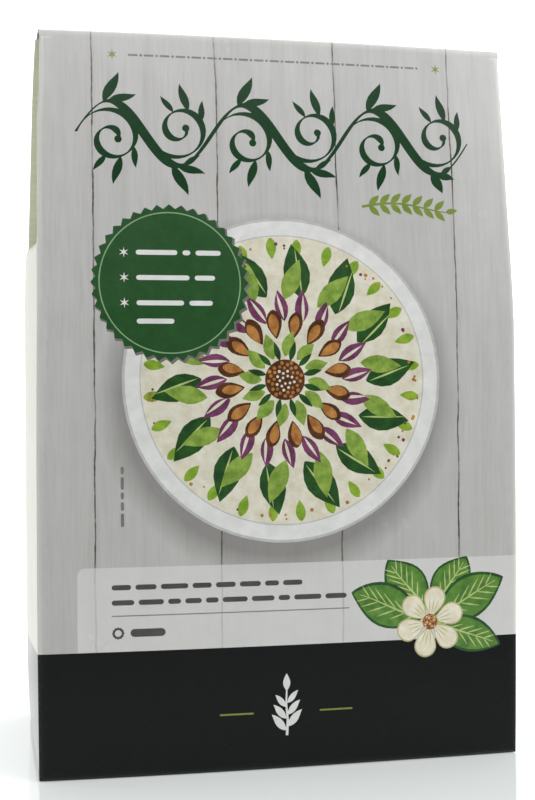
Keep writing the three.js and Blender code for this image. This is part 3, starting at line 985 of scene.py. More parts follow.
seam_side = [row[:SEAM_COLUMN + 1] for row in right_side]
seam_fold = [row[SEAM_COLUMN:] for row in right_side]
for level, (z_front, z_back) in enumerate(level_pairs):
    open_seam = share(SEAM_TOP - z_back, 0, SEAM_OPENING)
    seam_side[level][-1] = seam_side[level][-1] + Vector((0, -SEAM_SHIFT * open_seam, 0))
    inset = (BOARD + LAYER_GAP) * open_seam
    last = len(seam_fold[level]) - 1
    for i, p in enumerate(seam_fold[level]):
        seam_fold[level][i] = p + Vector((-inset * (1 - i / last) ** 0.5, 0, 0))

add_grid(seam_side, "side", side_ink)
add_grid(seam_fold, "side", lambda i, j: side_ink(SEAM_COLUMN + i, j))
add_grid(mirrored(right_side), "side", left_ink, flip=True)

# The upright folds reach lower than the sides, down to where the front and the back turn under.
front_corner = [side_level(z, FOOT_SIDE)[:FIRST_BENDS + 1] for z in (CORNER_FOOT, FOOT_FRONT, FOOT_SIDE)]
back_corner = [side_level(FOOT_SIDE, z)[-FIRST_BENDS - 1:] for z in (FOOT_BACK, FOOT_SIDE)]
for corner in (front_corner, back_corner):
    add_grid(mirrored(corner), "side", lambda i, j: "band_black", flip=True)
add_grid(front_corner, "side", lambda i, j: "band_black")

SEAM_FLAP_FOOT, SEAM_FLAP_HEAD = 5.0, SEAM_TOP - 4.0
SEAM_FLAP_STEP, SEAM_FLAP_STEPS = 5.0, 3
seam_flap = []
for level, z_back in enumerate(back_levels):
    if SEAM_FLAP_FOOT <= z_back <= SEAM_FLAP_HEAD:
        fold_start = seam_fold[level][0]
        row = [fold_start]
        for step in range(1, SEAM_FLAP_STEPS + 1):
            y = fold_start.y - SEAM_FLAP_STEP * step
            row.append(Vector((side_x(y, z_back) - BOARD - LAYER_GAP, y, z_back)))
        seam_flap.append(row[::-1])
add_grid(seam_flap, "side", lambda i, j: "board")
print("skin so far:", len(skin_faces), "faces")

# %% [markdown]
# ## Base flaps
# Four flaps close the base. The two dust flaps fold in from the sides first, then the back's flap, and the
# front's flap covers them all and is what the carton stands on. One flat plate could stand for all four, but
# then no layers would show at the foot. So each is a sheet that hangs on a small fold of its own.

# %% Fold the four flaps under
DUST_FLAP, INNER_FLAP = 38.0, 44.0
OUTER_LAYER, INNER_LAYER, DUST_LAYER = 0.0, BOARD + LAYER_GAP, 2 * (BOARD + LAYER_GAP)
FLAP_CHAMFER = 6.0
FLAP_BEND = 4                  # steps of the fold under a wall's foot
FLAT_START = 2.0               # this far in from the foot, the front's and the back's flap lie flat
DUST_REACHES = (2.5, 12.0, 22.0, DUST_FLAP - FLAP_CHAMFER, DUST_FLAP)


def flap_rows(starts, inward, layer, rows_out):
    """The quarter fold under a wall's foot, and the flap beyond it with the points of rows_out."""
    bends = []
    for p in starts:
        corner = Vector((p.x, p.y, layer))
        bends.append(bend(p, corner, corner + inward * (p.z - layer), FLAP_BEND))
    rows = [[column[i] for column in bends] for i in range(FLAP_BEND + 1)]
    return rows + [[Vector((x, y, layer)) for x, y in row] for row in rows_out]


def flap_ink(i, j):
    """The band's ink goes round the fold, and the flap beyond it is bare."""
    return "band_black" if j < FLAP_BEND else "board"


front_feet = [on_wall(front_y, x, z) for x, z in front_outline[:PANEL_STEPS + 1]]
back_feet = [on_wall(back_y, -x, z) for x, z in back_outline[:PANEL_STEPS + 1]]
outer_start, outer_end = FLAT_START - HALF_DEPTH, HALF_DEPTH - BOARD
inner_start, inner_length = HALF_DEPTH - FLAT_START, INNER_FLAP - FLAT_START
outer_rows = [[(p.x, mix(outer_start, outer_end, t)) for p in front_feet] for t in (0, .25, .5, .75, 1)]
inner_rows = [[(p.x, inner_start - t * inner_length) for p in back_feet] for t in (0, .3, .65, 1)]
outer = flap_rows(front_feet, Vector((0, 1, 0)), OUTER_LAYER, outer_rows)
inner = flap_rows(back_feet, Vector((0, -1, 0)), INNER_LAYER, inner_rows)
add_grid(outer, "front", lambda i, j: "band_black" if j <= FLAP_BEND else "base_print", flip=True)
add_grid(inner, "back", flap_ink, flip=True)

side_feet = right_side[0][FIRST_BENDS:FIRST_BENDS + SIDE_COLUMNS + 1]
dust_rows = []
for reach in DUST_REACHES:
    trim = 1 - (FLAP_CHAMFER / HALF_DEPTH if reach == DUST_FLAP else 0)
    dust_rows.append([(HALF_WIDTH - reach, p.y * trim) for p in side_feet])
dust = flap_rows(side_feet, Vector((-1, 0, 0)), DUST_LAYER, dust_rows)
add_grid(dust, "side", flap_ink, flip=True)
add_grid(mirrored(dust), "side", flap_ink)
print("skin with base flaps:", len(skin_faces), "faces")

# %% [markdown]
# ## Ridge and closing flap
# The front's upper end wraps over the ridge as a closing flap and is glued down the back of the roof. It
# could be its own strip, but on the real carton it is the same board, so it is a sheet that starts on the
# front's last row of points, goes round a tight fold, and narrows a little on its way down.

# %% Wrap the closing flap over the ridge
FLAP_DROP, FLAP_TAPER = 13.0, 1.6
RIDGE_ROUND = 1.0              # the fold over the ridge starts this far under its top
FLAP_GAP = 0.05                # glue line
FLAP_WIDENING = 0.6            # the flap starts as wide as the panel with its folds
FLAP_START = 0.15              # this far above the panel
FLAP_DROPS = (2.6, 4.2, 6.0, 9.0, 11.5, FLAP_DROP)       # rows down the back of the roof
ROOF_END = 0.9                 # the roof's own board ends this far under the ridge, inside the flap


def head_row(wall_y, outline, side):
    """The points along a panel's upper end, from left to right, or from right to left if side is -1."""
    row = [on_wall(wall_y, side * x, z) for x, z in outline if abs(z - FOLD_TOP) < HAIR]
    return sorted(row, key=lambda p: side * p.x)


def behind_roof(x, z):
    """A point on the outside of the flap where it lies on the roof."""
    return Vector((x, back_y(x, z) + (BOARD + FLAP_GAP) * roof_stretch(z), z))


ridge_row = head_row(front_y, front_outline, 1)
flap_half = ridge_row[-1].x
flap_columns = []
for p in ridge_row:
    x = p.x * (1 + FLAP_WIDENING / flap_half)
    foot = on_wall(front_y, x, FOLD_TOP + FLAP_START)
    start = on_wall(front_y, x, HEIGHT - RIDGE_ROUND)
    over = behind_roof(x, HEIGHT - RIDGE_ROUND)
    front_top, back_top = on_wall(front_y, x, HEIGHT), behind_roof(x, HEIGHT)
    middle = (front_top + back_top) / 2
    column = [p, foot] + bend(start, front_top, middle, 4) + bend(middle, back_top, over, 4)[1:]
    for drop in FLAP_DROPS:
        narrower = 1 - FLAP_TAPER * share(drop, RIDGE_ROUND, FLAP_DROP) / flap_half
        column.append(behind_roof(x * narrower, HEIGHT - drop))
    flap_columns.append(column)
flap_rows_up = [[column[i] for column in flap_columns] for i in range(len(flap_columns[0]))]
run = 0.0                      # millimetres of board from the panel to each row
flap_flats = []
for j, row in enumerate(flap_rows_up):
    run += (row[0] - flap_rows_up[max(0, j - 1)][0]).length
    flap_flats.append([(p.x, FOLD_TOP + run) for p in row])
add_grid(flap_rows_up, "front", lambda i, j: "planks", flats=flap_flats)

roof_row = head_row(back_y, back_outline, -1)
roof_head = [on_wall(back_y, p.x, HEIGHT - ROOF_END) for p in roof_row]
add_grid([roof_row, roof_head], "back", lambda i, j: "planks")
print("whole skin:", len(skin_faces), "faces")

# %% [markdown]
# ## Weld the sheets
# The sheets meet along the folds with the same points, so merging by distance joins them into one skin, as
# the real blank is one sheet. Joining by hand-kept point numbers would do the same with more book-keeping.
# Edges with one face only are the board's cut edges. They are kept for the rim.

# %% Weld the sheets into one skin
WELD = 0.001                   # millimetres
skin = bmesh.new()
flat_layer = skin.verts.layers.float_vector.new("flat")
for point, place in zip(skin_points, skin_flat):
    vertex = skin.verts.new(point)
    vertex[flat_layer] = (place[0], place[1], 0.0)
skin.verts.ensure_lookup_table()
ink_names = sorted(set(skin_inks) - {"board"}) + ["board"]
for corners, name in zip(skin_faces, skin_inks):
    if len(set(corners)) == len(corners):
        face = skin.faces.new([skin.verts[i] for i in corners])
        face.material_index = ink_names.index(name)
bmesh.ops.remove_doubles(skin, verts=skin.verts, dist=WELD)
loose = [v for v in skin.verts if not v.link_faces]
bmesh.ops.delete(skin, geom=loose, context="VERTS")
skin.verts.index_update()
outer_points = np.array([v.co[:] for v in skin.verts])
flat_places = np.array([v[flat_layer][:] for v in skin.verts])
faces = [tuple(v.index for v in f.verts) for f in skin.faces]
face_ink = [f.material_index for f in skin.faces]
rim_edges = [(e.link_loops[0].vert.index, e.link_loops[0].link_loop_next.vert.index)
             for e in skin.edges if len(e.link_faces) == 1]
skin.free()
print(len(outer_points), "points,", len(faces), "faces,", len(rim_edges), "open edges")

# %% [markdown]
# ## Where the board is worn, and where its folds get a painted highlight
# A carton wears at its folds first: the varnish cracks along every crease and along the ridge. Wear could be
# found from the mesh's sharpest points, but that also picks up the print's outlines. The folds are known
# lines here, so each point simply gets a number that falls off with its distance from the nearest one. The
# same number also whitens pale ink on the folds, partly as stretched ink and partly as a painted highlight.

# %% Give each point its wear and fold highlight
FOLD_SPREAD = 0.85             # millimetres over which the wear of a fold fades
CREASE_EASE = 0.7              # a crease that bends less wears less, as if it were this much further away


def distance_to_fold(x, y, z):
    """Millimetres to the nearest fold. The upright folds end at FOLD_TOP, and over leaps up above it."""
    half = half_width(z)
    over = abs(x) - half + max(0.0, z - FOLD_TOP + WELD) / WELD
    nearest = [
        math.hypot(over, y - front_y(half, z)),
        math.hypot(over, y - back_y(half, z)),
        math.hypot(z, y - front_y(x, 0)),
        math.hypot(z, y - back_y(x, 0)),
        math.hypot(z, abs(x) - side_x(y, 0)),
        math.hypot(z - SHOULDER_BACK, y - back_y(x, z)) + CREASE_EASE,
        math.hypot(z - crease_z(y), abs(x) - side_x(y, z)) + CREASE_EASE,
        HEIGHT - z,
    ]
    return min(nearest)


# One number per point for the real wear at the folds and for the painted highlight on them.
wear_and_highlight = np.array([math.exp(-(distance_to_fold(*p) / FOLD_SPREAD) ** 2) for p in outer_points.tolist()])
print("points on folds:", int((wear_and_highlight > 0.5).sum()))

# %% [markdown]
# ## Slopes, ripple and the inner skin
# A Solidify modifier could thicken the skin, but it would work out the shading again and show every print
# outline as a faint facet. So each point gets a slope, the average direction of its faces, large faces
# counting more, and a second skin is laid 0.6 mm inside. The same slopes shade the mesh, so that a bent sheet
# looks smooth although its triangles are uneven. A slow ripple keeps the panels from looking like glass. It
# only goes inwards, so the carton keeps its outside size.

# %% Work out slopes, ripple and the inner skin
TINY = 1e-12                   # keeps a division by no length at all from failing


def point_slopes(points, polygons):
    """The average direction of the faces round each point, large faces counting more."""
    slopes = np.zeros_like(points)
    for size in (3, 4):
        chosen = np.array([f for f in polygons if len(f) == size])
        if not len(chosen):
            continue
        first, second, third = (points[chosen[:, k]] for k in range(3))
        if size == 3:
            areas = np.cross(second - first, third - first)
        else:
            areas = np.cross(third - first, points[chosen[:, 3]] - second)
        for k in range(size):
            np.add.at(slopes, chosen[:, k], areas)
    return slopes / np.maximum(np.linalg.norm(slopes, axis=1, keepdims=True), TINY)


RIPPLE = 0.16                  # at most this far inwards
# Each bow of an upright front edge: its side, millimetres outwards, middle height and reach up and down.
EDGE_BOWS = ((-1, 0.27, 65.0, 65.0), (1, 1.0, 85.0, 105.0), (-1, -1.6, 187.0, 22.0))
BOW_ACROSS, BOW_BACK = 6, 4    # powers: a bow fades soon across the front, and later along the side


def bowed(points):
    """The full pouch presses the front's upright edges out, the ridge's fold draws the top left one in."""
    x, y, z = points.T
    push = np.zeros_like(x)
    for side, most, middle, reach in EDGE_BOWS:
        at_height = np.maximum(0, 1 - ((z - middle) / reach) ** 2)
        at_fold = np.clip(side * x / HALF_WIDTH, 0, 1) ** BOW_ACROSS
        at_front = np.clip(-y / HALF_DEPTH, 0, 1) ** BOW_BACK
        push += side * most * at_height * (at_fold * at_front)
    return np.stack([x + push, y, z], axis=1)


def ripple(points):
    """A slow wave of the panels, always inwards."""
    x, y, z = points.T
    slow = np.sin(x / 17 + 0.6) * np.sin(z / 23 + y / 19)
    quick = np.sin(x / 9 - z / 31 + 2.0) * np.sin(y / 11 + z / 13)
    return RIPPLE * (slow + 0.6 * quick - 1.6) / 3.2


outer_points = bowed(outer_points)
slopes = point_slopes(outer_points, faces)
outer_points = outer_points + slopes * ripple(outer_points)[:, None]
slopes = point_slopes(outer_points, faces)
inner_points = outer_points - slopes * BOARD
count = len(outer_points)
board_points = np.vstack([outer_points, inner_points])
board_faces = list(faces) + [tuple(i + count for i in f[::-1]) for f in faces]
raw = ink_names.index("board")
board_inks = face_ink + [raw] * len(faces)
rim_faces = [(b, a, a + count, b + count) for a, b in rim_edges]
print("board:", len(board_points), "points")

# %% [markdown]
# ## One mesh for the whole board
# The carton is one sheet on the real object, so it is one mesh here: outer skin, inner skin and the narrow
# faces along every cut edge. Two values go with each point for the materials to read: its place on the
# flat blank and its wear, which also sets the painted highlight on the folds.

# %% Make the board's mesh
def make_piece(name, points, polygons, slopes=None, inks=None):
    """A mesh object in metres. slopes has each face corner's direction, inks each face's material number."""
    mesh = bpy.data.meshes.new(name)
    mesh.from_pydata((np.asarray(points) * MM).tolist(), [], polygons)
    mesh.polygons.foreach_set("use_smooth", [True] * len(polygons))
    if inks is not None:
        mesh.polygons.foreach_set("material_index", inks)
    if slopes is not None:
        mesh.normals_split_custom_set(slopes)
    mesh.update()
    piece = bpy.data.objects.new(name, mesh)
    bpy.context.scene.collection.objects.link(piece)
    return piece


def add_values(piece, name, kind, field, values):
    """Stores a number or a vector at each point, for the materials to read."""
    attribute = piece.data.attributes.new(name, kind, "POINT")
    attribute.data.foreach_set(field, np.asarray(values, np.float32).ravel())


corner_slopes = []
for polygon in faces:
    corner_slopes += [slopes[i] for i in polygon]
for polygon in faces:
    corner_slopes += [-slopes[i] for i in polygon[::-1]]
for a, b, c, d in rim_faces:
    across = np.cross(board_points[c] - board_points[a], board_points[d] - board_points[b])
    corner_slopes += [across / max(np.linalg.norm(across), TINY)] * 4
carton = make_piece("carton_board", board_points, board_faces + rim_faces,
                    np.array(corner_slopes), board_inks + [raw] * len(rim_faces))
add_values(carton, "flat", "FLOAT_VECTOR", "vector", np.vstack([flat_places, flat_places]))
add_values(carton, "fold_wear_and_highlight", "FLOAT", "value", np.concatenate([wear_and_highlight, wear_and_highlight]))
print("carton_board:", len(carton.data.polygons), "faces, inks:", ink_names)

# %% [markdown]
# ## Materials: helpers
# Every finish here is built from nodes, so it is as sharp close up as far away, and needs no file. Adding
# nodes one by one takes many lines, so small helpers keep the cells short: they convert a paint colour, clear
# a node tree, add a node and fill its sockets, and give the tree its last shader.

# %% Helpers that build node trees
def paint(red, green, blue):
    """A screen colour, 0 to 255, as the linear colour that a shader wants."""
    linear = []
    for part in (red / 255, green / 255, blue / 255):
        linear.append(part / 12.92 if part <= 0.04045 else ((part + 0.055) / 1.055) ** 2.4)
    return (*linear, 1.0)


def put(socket, value):
    """Links a socket to a socket, or sets its value."""
    if isinstance(value, bpy.types.NodeSocket):
        socket.id_data.links.new(value, socket)
    elif value is not None:
        socket.default_value = value


def node(tree, kind, settings=None, **inputs):
    """Adds a node. An underscore in the name of an input stands for a space."""
    made = tree.nodes.new(kind)
    for key, value in (settings or {}).items():
        setattr(made, key, value)
    for key, value in inputs.items():
        put(made.inputs[key.replace("_", " ")], value)
    return made


def clear_tree(holder):
    """Empties the node tree of a material or a world."""
    holder.use_nodes = True
    holder.node_tree.nodes.clear()
    return holder.node_tree


def give_surface(tree, shader, kind="ShaderNodeOutputMaterial"):
    """Joins the last shader to the output."""
    out = node(tree, kind)
    tree.links.new(shader.outputs[0], out.inputs["Surface"])


print("a middle grey, 128, is", round(paint(128, 128, 128)[0], 3), "as light")

# %% [markdown]
# ## Materials: steps
# A finish is worked out in steps: mix two colours, add or multiply two values, take a value from one range to
# another, draw noise, read what is stored on the mesh. Each step is one node, so each gets a one-line
# function, and a finish reads like a recipe.

# %% Helpers for the steps of a finish
def blend_colours(tree, factor, first, second, mode="MIX"):
    made = node(tree, "ShaderNodeMix", {"data_type": "RGBA", "blend_type": mode})
    put(made.inputs["Factor"], factor)
    put(made.inputs[6], first)
    put(made.inputs[7], second)
    return made.outputs[2]


def sums(tree, operation, first, second=None, third=None):
    """One step of arithmetic."""
    made = node(tree, "ShaderNodeMath", {"operation": operation})
    for socket, value in zip(made.inputs, (first, second, third)):
        put(socket, value)
    return made.outputs[0]


def spread(tree, value, from_low, from_high, to_low, to_high):
    """Takes a value from one range to another and keeps it there."""
    ends = {"From Min": from_low, "From Max": from_high, "To Min": to_low, "To Max": to_high}
    made = node(tree, "ShaderNodeMapRange", None, Value=value)
    for key, number in ends.items():
        made.inputs[key].default_value = number
    return made.outputs[0]


def noise(tree, place, scale, detail=3.0, roughness=0.55):
    return node(tree, "ShaderNodeTexNoise", None, Vector=place, Scale=scale, Detail=detail,
                Roughness=roughness).outputs["Fac"]


def stored(tree, name, output="Vector"):
    """A value that make_piece's mesh keeps at each point."""
    return node(tree, "ShaderNodeAttribute", {"attribute_name": name}).outputs[output]


def stretched(tree, place, x, y, z=1.0):
    """The place scaled along each axis: noise is drawn out along an axis with a small number."""
    return node(tree, "ShaderNodeMapping", None, Vector=place, Scale=(x, y, z)).outputs[0]


print("steps: blend_colours, sums, spread, noise, stored, stretched")

# %% [markdown]
# ## Coated board
# Carton board has a smooth clay coat, and the print is sealed with a thin satin varnish. The sheen is soft,
# with a faint orange-peel from the fibres below, and the ink has a slight mottle. Where the board is bent,
# a pale ink turns whiter, partly as stretched ink and partly as a painted highlight on the fold's rounding,
# and the varnish cracks in tiny lines. The sides are smoother than the rest. All inks share one function for
# this finish: the colour differs, and for a few the gloss.

# %% The finish that all inks share
VARNISH_ROUGHNESS = (0.20, 0.28)
WASH_ROUGHNESS = (0.14, 0.19)  # the sides slid along the folding machine's belts, which polished them,
BAND_ROUGHNESS = (0.09, 0.13)  # the full ink of the band most
FULL_GLOSS, DEEP_GLOSS, BELT_GLOSS = 0.5, 0.2, 0.9       # of most inks, of the deep ones, of the sides' band
CRACKED_FOLD = 0.10            # how much of the pale board the cracks along a fold show
CRACK_GREY = paint(214, 212, 205)
# Painted highlight, partly real: on a fold a pale ink whitens as stretched ink does, and more as light on the
# rounding.
FOLD_PALING_AND_HIGHLIGHT = 0.8           # how far a pale ink turns white where a fold stretches it
STRETCHED_AND_LIT_WHITE = paint(240, 240, 235)
COAT_IOR = 1.48


def varnished(name, colour_of, mottle=0.05, gloss=FULL_GLOSS, paled_and_highlighted=0.0, rough=VARNISH_ROUGHNESS):
    """A material whose colour comes from colour_of(tree, place), under the satin varnish."""
    material = bpy.data.materials.new(name)
    tree = clear_tree(material)
    place = stored(tree, "flat")
    colour = colour_of(tree, place)
    cloudy = spread(tree, noise(tree, place, 0.16, 4), 0.3, 0.7, 1 - mottle, 1 + mottle)
    grey = node(tree, "ShaderNodeCombineColor", None, Red=cloudy, Green=cloudy, Blue=cloudy).outputs[0]
    colour = blend_colours(tree, 1.0, colour, grey, "MULTIPLY")
    fold_wear_and_highlight = stored(tree, "fold_wear_and_highlight", "Fac")
    # Painted highlight in part: pale ink turns whiter near a fold, as stretched ink and as light on the
    # fold's rounding.
    if paled_and_highlighted:
        colour = blend_colours(tree, sums(tree, "MULTIPLY", fold_wear_and_highlight, paled_and_highlighted), colour, STRETCHED_AND_LIT_WHITE)
    cracks = spread(tree, noise(tree, place, 4.0, 4, 0.7), 0.45, 0.66, 0.0, CRACKED_FOLD)
    cracked = sums(tree, "MULTIPLY", fold_wear_and_highlight, cracks)
    colour = blend_colours(tree, cracked, colour, CRACK_GREY)
    sheen = spread(tree, noise(tree, place, 0.05, 3), 0.3, 0.7, *rough)
    peel = noise(tree, place, 1.3, 3, 0.6)
    fibre = noise(tree, place, 5.0, 2)
    height = sums(tree, "MULTIPLY_ADD", fibre, 0.35, peel)
    bump = node(tree, "ShaderNodeBump", None, Height=height, Strength=0.05, Distance=0.0002)
    shader = node(tree, "ShaderNodeBsdfPrincipled", None, Base_Color=colour, Roughness=sheen,
                  Normal=bump.outputs[0])
    shader.inputs["IOR"].default_value = COAT_IOR
    shader.inputs["Specular IOR Level"].default_value = gloss
    give_surface(tree, shader)
    return material


print("roughness of the varnish", VARNISH_ROUGHNESS, "and of the sides' band", BAND_ROUGHNESS)

# %% [markdown]
# ## Printed planks
# The background of the print looks like whitewashed planks. A picture of planks could be wrapped round the
# carton, but it would blur close up. Planks are a repeat: the distance to the nearest joint draws the dark
# lines, the plank's own number gives each plank its tone, and noise pulled long in the plank's direction
# draws the grain. Working from the place on the flat blank takes the planks round the front's upright
# folds and over the ridge onto the closing flap.

# %% Whitewashed planks
PLANK_PITCH = 31.66
PLANK_OFFSET = 15.0            # one joint is this far right of the middle
PLANK_SHIFT = 90.0             # moves each plank to a grain of its own
JOINT_BEVEL = 2.2              # the planks darken a little this near to a joint
# Painted shade: the planks get darker towards the foot of the carton.
LOW_PAINTED_SHADE, LOW_SHADE_FOOT, LOW_SHADE_HEAD = 0.24, 40.0, 105.0        # and towards the foot
WHITEWASH = paint(206, 205, 203)
WHITEWASH_COOL = paint(200, 200, 199)
GRAIN_GREY = paint(166, 164, 160)
JOINT_BROWN = paint(88, 76, 66)


def plank_joints(tree, place, across):
    """Each plank's tone from 0 to 1, and the distance to the nearest joint."""
    wobble = spread(tree, noise(tree, stretched(tree, place, 0.02, 0.05), 1.0, 2), 0.3, 0.7, -0.25, 0.25)
    moved = sums(tree, "ADD", sums(tree, "SUBTRACT", across, PLANK_OFFSET), wobble)
    in_planks = sums(tree, "DIVIDE", moved, PLANK_PITCH)
    off_joint = sums(tree, "ABSOLUTE", sums(tree, "SUBTRACT", in_planks, sums(tree, "ROUND", in_planks)))
    number = sums(tree, "FLOOR", in_planks)
    tone = node(tree, "ShaderNodeTexWhiteNoise", {"noise_dimensions": "1D"}, W=number).outputs["Value"]
    return tone, sums(tree, "MULTIPLY", off_joint, PLANK_PITCH)


def wood_grain(tree, grain_place, colour):
    """Fine and broad grain and a few knots, drawn over a colour."""
    fine = noise(tree, stretched(tree, grain_place, 1.5, 0.06), 1.0, 5, 0.65)
    broad = noise(tree, stretched(tree, grain_place, 0.22, 0.03), 1.0, 4, 0.6)
    fine_grey = spread(tree, fine, 0.45, 0.75, 0.0, 0.28)
    broad_grey = spread(tree, broad, 0.4, 0.75, 0.0, 0.24)
    colour = blend_colours(tree, sums(tree, "ADD", fine_grey, broad_grey), colour, GRAIN_GREY)
    knot_place = stretched(tree, grain_place, 0.055, 0.018)
    knot = node(tree, "ShaderNodeTexVoronoi", None, Vector=knot_place, Scale=1.0, Randomness=1.0)
    knot_grey = spread(tree, knot.outputs["Distance"], 0.0, 0.09, 0.32, 0.0)
    return blend_colours(tree, knot_grey, colour, GRAIN_GREY)


def planks(tree, place):
    """The whole background: boards, grain, painted shade towards the foot, and dark joints that are broken
    here and there.
    """
    parts = node(tree, "ShaderNodeSeparateXYZ", None, Vector=place)
    across, up = parts.outputs[0], parts.outputs[1]
    tone, from_joint = plank_joints(tree, place, across)
    own_shift = sums(tree, "MULTIPLY", tone, PLANK_SHIFT)
    grain_place = node(tree, "ShaderNodeCombineXYZ", None, X=across, Y=up, Z=own_shift).outputs[0]
    colour = wood_grain(tree, grain_place, blend_colours(tree, tone, WHITEWASH, WHITEWASH_COOL))
    # Painted shade: darker towards the foot of the carton.
    foot_painted_shade = spread(tree, up, LOW_SHADE_FOOT, LOW_SHADE_HEAD, LOW_PAINTED_SHADE, 0.0)
    colour = blend_colours(tree, foot_painted_shade, colour, GRAIN_GREY)
    bevel_grey = spread(tree, from_joint, 0.0, JOINT_BEVEL, 0.16, 0.0)
    colour = blend_colours(tree, bevel_grey, colour, GRAIN_GREY)
    broken = noise(tree, stretched(tree, grain_place, 0.0, 0.06), 1.0, 3, 0.7)
    line_width = spread(tree, noise(tree, place, 0.5, 2), 0.3, 0.7, 0.13, 0.27)
    on_line = sums(tree, "LESS_THAN", from_joint, line_width)
    line = sums(tree, "MULTIPLY", on_line, spread(tree, broken, 0.35, 0.55, 0.25, 1.0))
    return blend_colours(tree, line, colour, JOINT_BROWN)


print("planks", PLANK_PITCH, "mm wide")

# %% [markdown]
# ## Shadow of the dish, and the veil
# Under the round print the planks are darker, as if the dish stood on them, and the veil lets the planks
# show through faintly. Both could be see-through layers, but both only change the planks' colour, so
# they reuse it. The sides have no planks but a pale olive wash with a faint upright grain.

# %% Planks with the printed shadow, the veil and the side's wash
SHADOW_MIDDLE = (DISH_X - 0.8, DISH_Z - 4.0, 0.0)
SHADOW_START, SHADOW_END = DISH_RADIUS - 1.0, DISH_RADIUS + 6.0
SHADOW_STRENGTH, SHADOW_GREY = 0.56, paint(96, 92, 88)
VEIL_STRENGTH, VEIL_WHITE = 0.62, paint(233, 233, 230)
OLIVE_WASH = paint(237, 240, 219)
OLIVE_WASH_GREY = paint(227, 230, 209)


def shaded_planks(tree, place):
    """The planks, darker round the dish."""
    hub = node(tree, "ShaderNodeVectorMath", {"operation": "DISTANCE"})
    put(hub.inputs[0], place)
    put(hub.inputs[1], SHADOW_MIDDLE)
    dark = spread(tree, hub.outputs["Value"], SHADOW_START, SHADOW_END, SHADOW_STRENGTH, 0.0)
    return blend_colours(tree, dark, planks(tree, place), SHADOW_GREY)


def veiled(tree, place):
    """The planks as they show through the veil."""
    return blend_colours(tree, VEIL_STRENGTH, shaded_planks(tree, place), VEIL_WHITE)


def side_wash(tree, place):
    """A pale olive with an upright grain."""
    grain = noise(tree, stretched(tree, place, 0.9, 0.03), 1.0, 5, 0.65)
    return blend_colours(tree, spread(tree, grain, 0.4, 0.7, 0.0, 1.0), OLIVE_WASH, OLIVE_WASH_GREY)


def flat_ink(colour, second, scale=0.3):
    """An ink of two colours that drift into each other."""
    def colour_of(tree, place):
        drift = spread(tree, noise(tree, place, scale, 4, 0.65), 0.36, 0.64, 0.0, 1.0)
        return blend_colours(tree, drift, paint(*colour), paint(*second))
    return colour_of


print(f"the dish's shadow ends {SHADOW_END:.1f} mm from its middle")

# %% [markdown]
# ## Inks
# Printed ink never lies quite evenly, so each ink drifts between two near colours. One material with the
# colours stored on the mesh would do too, but with one material for each ink a colour is easily changed.
# Every ink that the skin names needs an entry here. The planks, the veil and the sides' two inks are mixed
# after the others, because they have a pattern or a gloss of their own.

# %% Mix the inks
INK_COLOURS = {
    "vine_green": ((20, 66, 34), (16, 58, 28)),
    "olive": ((132, 152, 62), (120, 140, 54)),
    "soft_grey": ((132, 134, 130), (120, 121, 118)),
    "text_grey": ((82, 83, 80), (72, 72, 70)),
    "plate": ((238, 238, 235), (228, 229, 226)),
    "plate_rim": ((204, 205, 203), (190, 191, 189)),
    "rice_cream": ((238, 235, 220), (222, 216, 190)),
    "pea_green": ((154, 188, 60), (116, 156, 40)),
    "leaf_dark": ((44, 92, 36), (28, 66, 30)),
    "leaf_light": ((158, 186, 84), (112, 146, 54)),
    "leaf_mid": ((104, 152, 62), (70, 118, 44)),
    "leaf_rib": ((196, 212, 140), (176, 196, 118)),
    "cabbage_purple": ((136, 72, 112), (96, 44, 80)),
    "roast_dark": ((104, 62, 34), (66, 38, 24)),
    "roast_gold": ((204, 146, 78), (158, 100, 48)),
    "seal_green": ((42, 89, 44), (37, 81, 40)),
    "seal_ring": ((148, 184, 142), (140, 176, 134)),
    "seal_shade": ((128, 127, 122), (116, 115, 110)),
    "paper_white": ((240, 241, 238), (232, 233, 230)),
    "emblem_white": ((238, 238, 235), (228, 229, 226)),
    "petal": ((244, 240, 222), (230, 222, 190)),
    "petal_edge": ((206, 196, 150), (186, 176, 128)),
    "band_black": ((17, 18, 19), (15, 16, 17)),
    "base_print": ((17, 18, 19), (15, 16, 17)),
}
DEEP_INKS = ("band_black", "base_print", "vine_green")
carton_materials = {}
for name, pair in INK_COLOURS.items():
    gloss = DEEP_GLOSS if name in DEEP_INKS else FULL_GLOSS
    carton_materials[name] = varnished(name, flat_ink(*pair), gloss=gloss)
for name, colour_of in (("planks", shaded_planks), ("veil", veiled)):
    carton_materials[name] = varnished(name, colour_of, mottle=0.02, paled_and_highlighted=FOLD_PALING_AND_HIGHLIGHT)
carton_materials["side_wash"] = varnished("side_wash", side_wash, mottle=0.02, paled_and_highlighted=FOLD_PALING_AND_HIGHLIGHT,
                                          rough=WASH_ROUGHNESS)
carton_materials["side_band"] = varnished("side_band", flat_ink(*INK_COLOURS["band_black"]), gloss=BELT_GLOSS,
                                          rough=BAND_ROUGHNESS)
print(len(carton_materials), "inks mixed")

# %% [markdown]
# ## Bare board
# Inside and at every cut edge the board is bare: warm grey fibre with darker specks, quite matt. It is what
# the raw edges, the hidden flaps and the slit of the seam show. A plain grey would look like plastic
# there, so noise pulled out along the sheet draws the fibres.

# %% Bare board
BOARD_PALE, BOARD_DARK = paint(206, 199, 186), paint(178, 170, 156)
SPECK_BROWN = paint(120, 110, 98)


